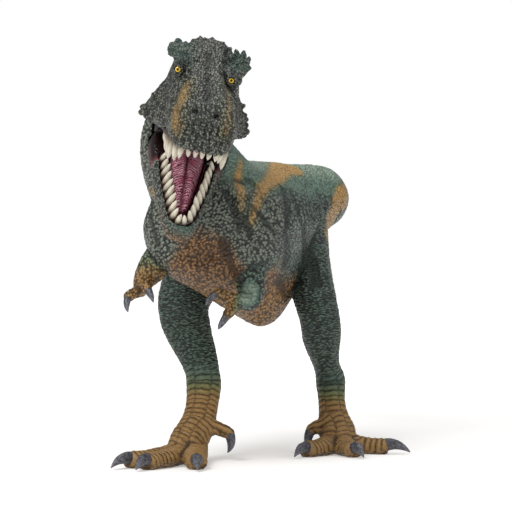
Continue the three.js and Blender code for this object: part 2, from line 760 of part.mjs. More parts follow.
function lowerJaw() {
  const rows = troughShares.map(([y, side]) => [
    0, y * jawLength, 0, side * jawWidth, jawDepth, jawFloor,
  ]);
  const trough = loft(rows, { steps: 2, sides: 14, square: troughSquareShares });
  return largest(jawOutside(0)
    .subtract(trough)
    .subtract(lowerGroove())
    .subtract(tongue(seatGap))
    .subtract(crossBar(pinRadius + seatGap, pinLength() + 2 * seatGap, 0)));
}

// The tongue lies on the floor of the jaw, between the gum strips
function tongue(grow) {
  const length = tongueLengthShare * jawLength;
  const width = tongueWidthShare * (jawWidth - 2 * (gumWidth + seatGap));
  const rows = tongueShares.map(([y, side, above, below]) => [
    0, y * length, -jawFloor + seatGap + below * tongueHeight, side * width,
    above * tongueHeight, below * tongueHeight,
  ]);
  return loft(rows, { steps: 2, sides: 14, square: tongueSquareShares, grow });
}

// Finished mouldings
const rightLeg = leg("right");
const leftLeg = leg("left");
const rightArm = arm("right");
const leftArm = arm("left");
const skullSolid = skull();
const jawSolid = lowerJaw();

function limbSeats() {
  const legs = ["right", "left"].map((name) =>
    loft(legRows(name), { ...legOptions, grow: seatGap }));
  const arms = ["right", "left"].map((name) =>
    loft(armRows(name), { ...armOptions, grow: seatGap }));
  return joined([...legs, ...arms]);
}

function torso() {
  const trunk = loft(spineRows, spineOptions).intersect(aheadOfTail(-seatGap));
  const neckRows = scaled(neckShares, [...placeSizes, neckWidth, neckDepth, neckDepth]);
  const neck = loft(neckRows, { steps: 2, sides: 16, reference: backward });
  const headRoom = joined([skullShell(seatGap), hingeKnuckle(seatGap)])
    .transform(headMatrix.elements);
  const jawRoom = jawOutside(jawGap).transform(jawMatrix.elements);
  return largest(trunk.add(neck)
    .subtract(limbSeats())
    .subtract(headRoom)
    .subtract(jawRoom)
    .subtract(tailPeg(seatGap)));
}

function tail() {
  const rear = loft(spineRows, spineOptions).subtract(aheadOfTail(0));
  return largest(rear.add(tailPeg(0)));
}

// Materials
function finish(colour, roughness, metalness = 0) {
  return new THREE.MeshStandardMaterial({ color: colour, roughness, metalness });
}

function mesh(name, shape, material) {
  const { vertProperties, triVerts } = shape.getMesh();
  const geometry = new THREE.BufferGeometry();
  geometry.setAttribute("position", new THREE.BufferAttribute(vertProperties, 3));
  geometry.setIndex(new THREE.BufferAttribute(triVerts, 1));
  geometry.computeVertexNormals();
  const part = new THREE.Mesh(geometry, material);
  part.name = name;
  return part;
}

// The jaw's group turns on the hinge, inside the head's group
const jawGroup = new THREE.Group();
jawGroup.rotation.x = jawOpening * degrees;
jawGroup.add(
  mesh("lower_jaw", jawSolid, finish(0x3c4a42, 0.55)),
  mesh("lower_teeth", lowerTeeth(), finish(0xd9d0bb, 0.4)),
  mesh("tongue", tongue(0), finish(0x7a3348, 0.45)),
);

const headGroup = new THREE.Group();
headGroup.position.copy(hingePlace);
headGroup.setRotationFromEuler(headTurn);
headGroup.add(
  mesh("skull", skullSolid, finish(0x39433d, 0.55)),
  mesh("upper_teeth", upperTeeth(), finish(0xd9d0bb, 0.4)),
  mesh("jaw_pin", crossBar(pinRadius, pinLength(), 0), finish(0x9a9a9a, 0.35, 0.8)),
  jawGroup,
);

const stance = new THREE.Group();
stance.add(
  mesh("torso", torso(), finish(0x42564b, 0.6)),
  mesh("tail", tail(), finish(0x42564b, 0.6)),
  mesh("right_leg", rightLeg, finish(0x3d4a38, 0.6)),
  mesh("left_leg", leftLeg, finish(0x3d4a38, 0.6)),
  mesh("right_arm", rightArm, finish(0x5a5638, 0.6)),
  mesh("left_arm", leftArm, finish(0x5a5638, 0.6)),
  headGroup,
);

// The origin lies under the middle of the figure's box
stance.updateMatrixWorld(true);
const reachBox = new THREE.Box3().setFromObject(stance, true);
const middle = reachBox.getCenter(new THREE.Vector3());
stance.position.set(-middle.x, -middle.y, -reachBox.min.z);

const figure = new THREE.Group();
figure.name = "toy_dinosaur";
figure.add(stance);

export default figure;
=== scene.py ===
"""Toy theropod dinosaur: painted hide, jaws, teeth, tongue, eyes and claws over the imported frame.

Sizes are written in millimetres and turn into metres where a mesh is made.
"""

import json
import logging
import math
from dataclasses import dataclass, field
from enum import Enum
from typing import Iterable, Sequence

import bpy
import numpy as np
from mathutils import Matrix, Vector
from mathutils.bvhtree import BVHTree

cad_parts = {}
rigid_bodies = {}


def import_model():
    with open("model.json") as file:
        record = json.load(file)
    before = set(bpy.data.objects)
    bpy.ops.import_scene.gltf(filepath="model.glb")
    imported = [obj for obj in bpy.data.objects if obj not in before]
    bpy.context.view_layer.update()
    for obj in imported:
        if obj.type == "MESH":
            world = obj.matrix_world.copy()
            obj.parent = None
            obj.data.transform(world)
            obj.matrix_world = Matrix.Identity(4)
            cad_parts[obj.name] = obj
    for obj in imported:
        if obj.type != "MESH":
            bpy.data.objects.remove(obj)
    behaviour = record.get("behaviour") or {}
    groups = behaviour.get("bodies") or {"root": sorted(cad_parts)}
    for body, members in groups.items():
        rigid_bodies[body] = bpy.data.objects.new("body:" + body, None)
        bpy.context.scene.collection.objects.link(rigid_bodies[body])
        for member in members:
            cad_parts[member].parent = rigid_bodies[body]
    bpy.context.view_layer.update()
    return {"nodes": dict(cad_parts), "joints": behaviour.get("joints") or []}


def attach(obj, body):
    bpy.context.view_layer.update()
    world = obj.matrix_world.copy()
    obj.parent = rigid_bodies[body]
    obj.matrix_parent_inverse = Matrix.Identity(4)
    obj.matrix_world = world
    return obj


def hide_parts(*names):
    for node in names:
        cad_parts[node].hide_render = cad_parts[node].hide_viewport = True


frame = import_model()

log = logging.getLogger("dinosaur")

MM = 0.001
Triple = tuple[float, float, float]
Row = tuple[float, float, float, float]
Span = tuple[float, float]
Colour = Triple | bpy.types.NodeSocket
OUTSIDE = -9.0
FAR_OUTSIDE = -12.0
WELD = 0.002


class Body(Enum):
    """The rigid bodies that pieces ride on."""

    FIGURE = "figure"
    JAW = "jaw"


class Slot(Enum):
    """Material slots of the record."""

    BODY = "body_skin"
    LEG = "leg_skin"
    ARM = "arm_skin"
    HEAD = "head_skin"
    TOOTH = "tooth"
    TONGUE = "tongue"


# Shader building

class Value:
    """A number on a shader socket; arithmetic on it adds Math nodes."""

    def __init__(self, shader: "Shader", socket: bpy.types.NodeSocket) -> None:
        """Wraps a socket of a shader's tree."""
        self.shader = shader
        self.socket = socket

    def _with(self, operation: str, *others: "Value | float") -> "Value":
        """The result of a Math node on this value and others."""
        return self.shader.node("ShaderNodeMath", {"operation": operation}, dict(enumerate((self, *others))))

    def _after(self, operation: str, other: float) -> "Value":
        """The result of a Math node where the other value comes first."""
        return self.shader.node("ShaderNodeMath", {"operation": operation}, {0: other, 1: self})

    def __add__(self, other: "Value | float") -> "Value":
        """Sum."""
        return self._with("ADD", other)

    def __radd__(self, other: float) -> "Value":
        """Sum with the number first."""
        return self._after("ADD", other)

    def __sub__(self, other: "Value | float") -> "Value":
        """Difference."""
        return self._with("SUBTRACT", other)

    def __rsub__(self, other: float) -> "Value":
        """Difference from a number."""
        return self._after("SUBTRACT", other)

    def __mul__(self, other: "Value | float") -> "Value":
        """Product."""
        return self._with("MULTIPLY", other)

    def __rmul__(self, other: float) -> "Value":
        """Product with the number first."""
        return self._after("MULTIPLY", other)

    def __truediv__(self, other: "Value | float") -> "Value":
        """Quotient."""
        return self._with("DIVIDE", other)

    def __abs__(self) -> "Value":
        """Size without the sign."""
        return self._with("ABSOLUTE")

    def fraction(self) -> "Value":
        """What is left after the whole number."""
        return self._with("FRACT")

    def higher(self, other: "Value | float") -> "Value":
        """The larger of two values."""
        return self._with("MAXIMUM", other)

    def step(self, low: float, high: float) -> "Value":
        """A smooth step.

        Args:
            low: value at which the step starts at 0.
            high: value at which it reaches 1.

        Returns:
            A value from 0 to 1.
        """
        settings = {"interpolation_type": "SMOOTHSTEP"}
        ends = {"From Min": low, "From Max": high} if low < high else {"From Min": high, "From Max": low}
        rise = self.shader.node("ShaderNodeMapRange", settings, {"Value": self, **ends})
        return rise if low < high else 1 - rise


class Shader:
    """Builds the node tree of one material."""

    def __init__(self, name: str) -> None:
        """Starts an empty material with a Principled shader."""
        self.material = bpy.data.materials.new(name)
        self.material.use_nodes = True
        self.tree = self.material.node_tree
        self.tree.nodes.clear()
        self.surface = self.tree.nodes.new("ShaderNodeBsdfPrincipled")
        self.out = self.tree.nodes.new("ShaderNodeOutputMaterial")
        self.tree.links.new(self.surface.outputs[0], self.out.inputs["Surface"])
        self.place = self.socket("ShaderNodeTexCoord", {}, {}, "Object")
        self.millimetres = self.socket(
            "ShaderNodeVectorMath", {"operation": "SCALE"}, {0: self.place, "Scale": 1 / MM})

    def feed(self, target: bpy.types.NodeSocket, value: object) -> None:
        """Links a socket to an input, or sets a constant on it."""
        if isinstance(value, Value):
            value = value.socket
        if isinstance(value, bpy.types.NodeSocket):
            self.tree.links.new(value, target)
        else:
            target.default_value = value

    def socket(self, kind: str, settings: dict, inputs: dict, output: int | str = 0) -> bpy.types.NodeSocket:
        """Adds a node.

        Args:
            kind: the node's type.
            settings: attributes that are set before its sockets are.
            inputs: values or links by socket name or number.
            output: name or number of the socket that is returned.

        Returns:
            The output socket.
        """
        node = self.tree.nodes.new(kind)
        for name, value in settings.items():
            setattr(node, name, value)
        for name, value in inputs.items():
            self.feed(node.inputs[name], value)
        return node.outputs[output]

    def node(self, kind: str, settings: dict, inputs: dict, output: int | str = 0) -> Value:
        """Adds a node and wraps its output as a value."""
        return Value(self, self.socket(kind, settings, inputs, output))

    def attribute(self, name: str) -> Value:
        """A value that the mesh carries on its points."""
        return self.node("ShaderNodeAttribute", {"attribute_name": name}, {}, "Fac")

    def axes(self) -> list[Value]:
        """The object's X, Y and Z in millimetres."""
        split = self.tree.nodes.new("ShaderNodeSeparateXYZ")
        self.tree.links.new(self.millimetres, split.inputs[0])
        return [Value(self, socket) for socket in split.outputs]

    def vector(self, operation: str, *inputs: Colour) -> bpy.types.NodeSocket:
        """The result of a Vector Math node."""
        return self.socket("ShaderNodeVectorMath", {"operation": operation}, dict(enumerate(inputs)))

    def stretched(self, shares: Triple, where: bpy.types.NodeSocket | None = None) -> bpy.types.NodeSocket:
        """Coordinates in millimetres, each axis times its share."""
        return self.vector("MULTIPLY", where or self.millimetres, shares)

    def noise(self, pitch: float, detail: float = 3, where: bpy.types.NodeSocket | None = None) -> Value:
        """Soft noise from 0 to 1 with a pitch in millimetres."""
        inputs = {"Vector": where or self.millimetres, "Scale": 1 / pitch, "Detail": detail}
        return self.node("ShaderNodeTexNoise", {}, inputs, "Fac")

    def cells(self, pitch: float, where: bpy.types.NodeSocket | None = None, soft: float = 0.12) -> Value:
        """Distance from the middle of the nearest of a field of scales, from 0 to about 1."""
        settings = {"feature": "SMOOTH_F1"}
        inputs = {"Vector": where or self.millimetres, "Scale": 1 / pitch, "Smoothness": soft}
        return self.node("ShaderNodeTexVoronoi", settings, inputs, "Distance")

    def mix(self, share: Value | float, first: Colour, second: Colour) -> bpy.types.NodeSocket:
        """A colour between two colours or colour sockets."""
        inputs = {0: share, 6: as_colour(first), 7: as_colour(second)}
        return self.socket("ShaderNodeMix", {"data_type": "RGBA", "blend_type": "MIX"}, inputs, 2)

    def bump(self, height: Value, depth: float) -> bpy.types.NodeSocket:
        """A normal from a height of 0 to 1, with its depth in millimetres."""
        inputs = {"Height": height, "Distance": depth * MM, "Strength": 1.0}
        return self.socket("ShaderNodeBump", {}, inputs, "Normal")

    def finish(self, **inputs: Value | Colour | float) -> bpy.types.Material:
        """Sets or links the Principled shader's sockets, with _ for a space, and returns the material."""
        for name, value in inputs.items():
            self.feed(self.surface.inputs[name.replace("_", " ")], value)
        return self.material


def as_colour(value: Colour) -> bpy.types.NodeSocket | tuple[float, ...]:
    """A colour socket as it is, or red, green and blue as a colour with alpha."""
    return value if isinstance(value, bpy.types.NodeSocket) else (*value, 1.0)


def paint(code: str) -> Triple:
    """The linear colour of an sRGB code such as "4a6b62"."""
    parts = [int(code[i:i + 2], 16) / 255 for i in (0, 2, 4)]
    return tuple(c / 12.92 if c <= 0.04045 else ((c + 0.055) / 1.055) ** 2.4 for c in parts)


# Finishes

HIDE_ZONES = (
    "stripe", "belly", "ochre", "teal", "limb", "bands", "column", "scute", "mouth", "neck", "hollow")
ZONE_SPANS = {"belly": (-8, 8), "ochre": (-12, 12), "teal": (-6, 11), "mouth": (-5, 5), "neck": (-6, 6)}
ZONE_BLURS = {"stripe": 3, "belly": 4, "ochre": 3, "teal": 4, "limb": 6, "scute": 1, "mouth": 1, "neck": 4}


@dataclass(frozen=True)
class Edge:
    """Where the paint of a zone starts and is full, in millimetres, and how far the stain breaks it up."""

    low: float
    high: float
    stain: float = 0.0

    def cover(self, zone: Value, stain: Value) -> Value:
        """How much of the paint covers each point, from 0 to 1."""
        place = zone + stain * self.stain if self.stain else zone
        return place.step(self.low, self.high)


@dataclass(frozen=True)
class HidePaint:
    """Hand-painted pebbled hide: dark paint in the gaps, painted shade in the creases and hollows, zones of
    paint and pale dry-brushed tops.

    Colours are sRGB codes, pitches and depths are in millimetres, and spans are steps from 0 to 1.
    """

    name: str
    deep: str = "2f4238"
    green: str = "41594c"
    teal: str = "5a7566"
    # Paler teal of the back's top and the elbow.
    pale_teal: str = "93a592"
    neck: str = "646a5d"
    leg: str = "304a3d"
    stripe: str = "b38a4a"
    belly: str = "7f5936"
    keel: str = "a0753f"
    ochre: str = "8c6a3a"
    moss: str = "62682f"
    # Dark paint of the pebble gaps and stain patches, which also lays the painted shade in the creases and
    # hollows.
    wash_and_shade: str = "0d120f"
    brown_wash_and_shade: str = "1e140b"
    brush: str = "8f988a"
    tan: str = "b08d5c"
    mouth: str = "5a2a31"
    # Near-black painted shade deep in the mouth and at its corner on the jaw.
    mouth_shade: str = "190a0c"
    pebble: float = 0.9
    depth: float = 0.5
    brushing: float = 0.95
    stripe_cover: float = 0.95
    stripe_edge: float = 1.2
    stain_pitch: float = 6.0
    stain_reach: float = 6.0
    ground_contrast: float = 2.6
    neck_edge: Edge = Edge(-2.0, 3.0, 1.0)
    teal_edge: Edge = Edge(-2.0, 3.0, 0.5)
    pale_teal_edge: Edge = Edge(4.0, 9.0)
    pale_teal_cover: float = 0.7
    moss_edge: Edge = Edge(-8.0, 0.5, 0.6)
    ochre_edge: Edge = Edge(-2.5, 3.0, 0.5)
    warm_edge: Edge = Edge(-4.0, 2.0)
    belly_edge: Edge = Edge(-4.0, 4.0, 1.2)
    stripe_warmth: Edge = Edge(-1.0, 1.0)
    stripe_rim: Edge = Edge(-2.2, -0.2)
    stripe_core: Edge = Edge(-1.2, 1.0)
    stripe_stain: float = 0.25
    rim_cover: float = 0.5
    mouth_edge: Edge = Edge(-0.3, 0.5)
    mouth_shade_edge: Edge = Edge(0.5, 3.5)
    mouth_level: float = 0.9
    mouth_flatness: float = 0.8
    leg_height: Span = (88.0, 74.0)
    keel_height: Span = (66.0, 52.0)
    patch_pitch: float = 2.2
    patch_span: Span = (0.5, 0.72)
    patch_cover: float = 0.35
    gap_span: Span = (0.5, 0.2)
    # Painted shade: how deep a hollow must be before the dark paint covers it, and how much.
    hollow_span: Span = (0.03, 0.25)
    hollow_cover: float = 0.8
    wash_and_shade_cover: float = 0.95
    calm_loss: float = 0.6
    warm_loss: float = 0.15
    stripe_loss: float = 0.35
    limb_loss: float = 0.3
    scute_loss: float = 0.7
    brush_span: Span = (0.36, 0.86)
    brush_pitch: float = 7.0
    brush_contrast: float = 2.6
    brush_miss: float = 3.0
    brush_cover: float = 0.66
    grain_pitch: float = 0.45
    grain_share: float = 0.12
    roughness: float = 0.5
    rough_swing: float = 0.3
    brushed_gloss: float = 0.1
    mouth_gloss: float = 0.2
    specular: float = 0.45
    wander_scale: float = 0.35
    wander: Triple = (0.7, 0.7, 0.7)
    oval: Triple = (1.0, 0.32, 1.0)
    flat: Triple = (0.7, 0.4, 1.6)
    pebble_fall: float = 1.25
    band_pitch: float = 3.0
    band_swing: float = 0.5
    gutter_span: Span = (0.05, 0.6)
    seam_span: Span = (-0.05, 0.3)
    scute_share: float = 0.65
    scute_pitch: float = 0.8

    def build(self) -> bpy.types.Material:
        """Makes the material.

        Returns:
            A material that reads the mesh's paint attributes and Object coordinates.
        """
        s = Shader(self.name)
        zones = {name: s.attribute(name) for name in HIDE_ZONES}
        swing = s.noise(self.stain_pitch, 2) - 0.5
        stain = swing * self.stain_reach
        mouth = self.mouth_edge.cover(zones["mouth"], stain)
        belly = self.belly_edge.cover(zones["belly"], stain)
        stripe = self.stripe_warmth.cover(zones["stripe"], stain)
        warm = self.warm_edge.cover(zones["ochre"], stain).higher(belly).higher(stripe)
        calm = self.teal_edge.cover(zones["teal"], stain)
        height = self.relief(s, zones)
        height = height + (self.mouth_level - height) * mouth * self.mouth_flatness
        coarse = 1 - calm * self.calm_loss

        shade = self.coats(s, zones, swing, calm, belly)
        dark = s.mix(warm, paint(self.wash_and_shade), paint(self.brown_wash_and_shade))
        patches = s.noise(self.patch_pitch, 4).step(*self.patch_span) * self.patch_cover
        shade = s.mix(patches, shade, dark)
        gap = height.step(*self.gap_span) * coarse * (1 - warm * self.warm_loss)
        gap = gap * (1 - stripe * self.stripe_loss)
        # Painted shade: the dark paint also covers the creases, folds and hollows.
        gap = gap.higher(zones["hollow"].step(*self.hollow_span) * self.hollow_cover)
        shade = s.mix(gap * self.wash_and_shade_cover, shade, dark)
        # The dry-brush misses the hollows. Where hollow is below 0, on the head's ridges, it lays a painted
        # highlight.
        reach = s.noise(self.brush_pitch, 3) * self.brush_contrast - 0.5 - zones["hollow"] * self.brush_miss
        pale = height.step(*self.brush_span) * reach.step(0.0, 1.0) * self.brushing * coarse
        pale = pale * (1 - zones["limb"] * self.limb_loss) * (1 - mouth)
        pale = pale * (1 - zones["scute"] * self.scute_loss)
        shade = s.mix(pale * self.brush_cover, shade, s.mix(warm, paint(self.brush), paint(self.tan)))
        # Painted shade: the mouth turns near-black where it lies deepest, in the palate and by the jaw's
        # hinge.
        mouth_shade = self.mouth_shade_edge.cover(zones["mouth"], stain)
        shade = s.mix(mouth, shade, s.mix(mouth_shade, paint(self.mouth), paint(self.mouth_shade)))
        gloss = pale * self.brushed_gloss + mouth * self.mouth_gloss
        rough = self.roughness + swing * self.rough_swing - gloss
        normal = s.bump(height + s.noise(self.grain_pitch, 2) * self.grain_share, self.depth)
        return s.finish(Base_Color=shade, Roughness=rough, Normal=normal, Specular_IOR_Level=self.specular)

    def coats(
        self, s: Shader, zones: dict[str, Value], swing: Value, calm: Value, belly: Value,
    ) -> bpy.types.NodeSocket:
        """The coats of paint, from the ground coat to the stripes.

        Args:
            s: the shader.
            zones: the mesh's paint attributes.
            swing: soft noise about 0.
            calm: cover of the smooth teal paint.
            belly: cover of the belly's paint.

        Returns:
            The colour before the wash and the brushing.
        """
        stain = swing * self.stain_reach
        _, _, z = s.axes()
        shade = s.mix(swing * self.ground_contrast + 0.5, paint(self.deep), paint(self.green))
        shade = s.mix(self.neck_edge.cover(zones["neck"], stain), shade, paint(self.neck))
        shade = s.mix(calm, shade, paint(self.teal))
        # Paler teal where the teal zone is deepest: the top of the back and the elbow.
        pale_teal = self.pale_teal_edge.cover(zones["teal"], stain) * self.pale_teal_cover
        shade = s.mix(pale_teal, shade, paint(self.pale_teal))
        shade = s.mix(zones["limb"] * (1 - calm) * z.step(*self.leg_height), shade, paint(self.leg))
        shade = s.mix(self.moss_edge.cover(zones["ochre"], stain), shade, paint(self.moss))
        shade = s.mix(self.ochre_edge.cover(zones["ochre"], stain), shade, paint(self.ochre))
        under = s.mix(z.step(*self.keel_height), paint(self.belly), paint(self.keel))
        shade = s.mix(belly, shade, under)
        stripe = (zones["stripe"] + stain * self.stripe_stain) / self.stripe_edge
        rim = self.stripe_rim.cover(stripe, stain) * self.stripe_cover * self.rim_cover
        shade = s.mix(rim, shade, paint(self.moss))
        return s.mix(self.stripe_core.cover(stripe, stain) * self.stripe_cover, shade, paint(self.stripe))

    def relief(self, s: Shader, zones: dict[str, Value]) -> Value:
        """Height of the pebbles, flatter across the limbs, and of the scutes of the feet.

        Args:
            s: the shader.
            zones: the mesh's paint attributes.

        Returns:
            A height from 0 in the gaps to 1 on the tops.
        """
        inputs = {"Vector": s.millimetres, "Scale": self.wander_scale, "Detail": 2.0}
        drift = s.socket("ShaderNodeTexNoise", {}, inputs, "Color")
        wander = s.vector("MULTIPLY_ADD", drift, self.wander, s.millimetres)
        round_scale = 1 - s.cells(self.pebble, s.stretched(self.oval, wander)) * self.pebble_fall
        flat_scale = 1 - s.cells(self.pebble, s.stretched(self.flat, wander)) * self.pebble_fall
        pebble = round_scale + (flat_scale - round_scale) * zones["limb"]
        bands = (zones["bands"] + (s.noise(self.band_pitch, 2) - 0.5) * self.band_swing).fraction()
        ridge = (1 - abs(bands - 0.5) * 2).step(*self.gutter_span)
        plate = ridge * zones["column"].step(*self.seam_span) * self.scute_share
        plate = plate + s.noise(self.scute_pitch, 3) * 0.5
        return pebble + (plate - pebble) * zones["scute"]


@dataclass(frozen=True)
class BonePaint:
    """Bone-coloured teeth with faint long streaks and a darker root: stain at the gum, and painted shade
    where each tooth sits behind the next.
    """

    name: str = "bone_paint"
    bone: str = "d5cdb9"
    root: str = "5f4e38"
    streak_pitch: float = 0.55
    streak_shares: Triple = (1.0, 1.0, 0.25)
    root_span: Span = (0.12, 0.62)
    root_swing: float = 0.3
    stain_span: Span = (0.45, 0.8)
    stain_cover: float = 0.45
    roughness: float = 0.34
    rough_swing: float = 0.15
    depth: float = 0.05

    def build(self) -> bpy.types.Material:
        """Makes the material from the attribute rise, 0 at the gum and 1 at the tip."""
        s = Shader(self.name)
        streak = s.noise(self.streak_pitch, 3, s.stretched(self.streak_shares))
        rise = s.attribute("rise") + (streak - 0.5) * self.root_swing
        # Darker root: stain at the gum, and painted shade where each tooth sits behind the next.
        shade = s.mix(rise.step(*self.root_span), paint(self.root), paint(self.bone))
        shade = s.mix(streak.step(*self.stain_span) * self.stain_cover, shade, paint(self.root))
        rough = self.roughness + streak * self.rough_swing
        return s.finish(Base_Color=shade, Roughness=rough, Normal=s.bump(streak, self.depth))


@dataclass(frozen=True)
class TongueFlesh:
    """Dark pink flesh with wavy cross ridges, darker between them, and painted highlights on the ridge tops.
    """

    name: str = "tongue_flesh"
    flesh: str = "c6647f"
    deep: str = "561e30"
    # Painted highlight: pale pink laid in patches on the ridge tops.
    light: str = "e6b8c2"
    pitch: float = 1.0
    groove: float = 0.8
    groove_floor: float = 0.1
    wave_pitch: float = 2.0
    wave: float = 2.8
    sweep: float = 0.35
    ridge_span: Span = (0.05, 0.8)
    ridge_share: float = 0.7
    spot_pitch: float = 0.7
    flesh_span: Span = (0.1, 0.75)
    highlight_span: Span = (0.5, 0.9)
    patch_pitch: float = 2.4
    patch_span: Span = (0.28, 0.55)
    highlight_cover: float = 0.75
    groove_cover: float = 0.8
    roughness: float = 0.3
    depth: float = 0.3

    def build(self) -> bpy.types.Material:
        """Makes the material from the attributes along and across, in millimetres."""
        s = Shader(self.name)
        side = abs(s.attribute("across"))
        along = s.attribute("along") + s.noise(self.wave_pitch, 3) * self.wave + side * self.sweep
        ridge = (1 - abs((along / self.pitch).fraction() - 0.5) * 2).step(*self.ridge_span)
        height = ridge * self.ridge_share + s.noise(self.spot_pitch, 3) * (1 - self.ridge_share)
        cleft = side.step(self.groove, self.groove_floor)
        shade = s.mix(height.step(*self.flesh_span), paint(self.deep), paint(self.flesh))
        patches = s.noise(self.patch_pitch, 2).step(*self.patch_span) * self.highlight_cover
        # Painted highlight on the ridge tops.
        shade = s.mix(height.step(*self.highlight_span) * patches, shade, paint(self.light))
        shade = s.mix(cleft * self.groove_cover, shade, paint(self.deep))
        normal = s.bump(height * (1 - cleft), self.depth)
        return s.finish(Base_Color=shade, Roughness=self.roughness, Normal=normal)


@dataclass(frozen=True)
class SlateClaw:
    """Slate-grey claw, paler where it is dry-brushed towards the tip and brown at the root."""

    name: str = "slate_claw"
    slate: str = "35353b"
    pale: str = "85858e"
    root: str = "3a2c1c"
    streak_pitch: float = 0.9
    streak_shares: Triple = (1.4, 0.6, 1.4)
    tip_share: float = 0.25
    pale_span: Span = (0.5, 0.85)
    pale_cover: float = 0.55
    root_span: Span = (0.25, 0.0)
    root_cover: float = 0.6
    roughness: float = 0.36
    rough_swing: float = 0.15
    depth: float = 0.08

    def build(self) -> bpy.types.Material:
        """Makes the material with streaks along the claw."""
        s = Shader(self.name)
        streak = s.noise(self.streak_pitch, 4, s.stretched(self.streak_shares))
        rise = s.attribute("rise")
        pale = (streak + rise * self.tip_share).step(*self.pale_span) * self.pale_cover
        shade = s.mix(pale, paint(self.slate), paint(self.pale))
        shade = s.mix(rise.step(*self.root_span) * self.root_cover, shade, paint(self.root))
        rough = self.roughness + streak * self.rough_swing
        return s.finish(Base_Color=shade, Roughness=rough, Normal=s.bump(streak, self.depth))


@dataclass(frozen=True)
class EyePaint:
    """Gloss yellow iris with a dark rim and a round black pupil."""

    name: str = "eye_paint"
    pupil: str = "050505"
    iris: str = "d8b23a"
    rim: str = "1c1712"
    pupil_edge: Span = (0.38, 0.46)
    rim_edge: Span = (0.8, 0.95)
    roughness: float = 0.2
    specular: float = 0.25

    def build(self) -> bpy.types.Material:
        """Makes the material from the attribute gaze, in millimetres from the middle of the pupil."""
        s = Shader(self.name)
        gaze = s.attribute("gaze")
        shade = s.mix(gaze.step(*self.pupil_edge), paint(self.pupil), paint(self.iris))
        shade = s.mix(gaze.step(*self.rim_edge), shade, paint(self.rim))
        return s.finish(Base_Color=shade, Roughness=self.roughness, Specular_IOR_Level=self.specular)


@dataclass(frozen=True)
class PinSteel:
    """Plain drawn wire of the jaw's pin."""

    name: str = "pin_steel"
    dark: str = "8c8c8c"
    bright: str = "a8a8a8"
    streak_pitch: float = 0.4
    streak_shares: Triple = (0.1, 1.0, 1.0)
    roughness: float = 0.3
    rough_swing: float = 0.2

    def build(self) -> bpy.types.Material:
        """Makes a metal with fine drawn streaks."""
        s = Shader(self.name)
        streak = s.noise(self.streak_pitch, 3, s.stretched(self.streak_shares))
        shade = s.mix(streak, paint(self.dark), paint(self.bright))
        rough = self.roughness + streak * self.rough_swing
        return s.finish(Base_Color=shade, Metallic=1.0, Roughness=rough)


# Modelling bench

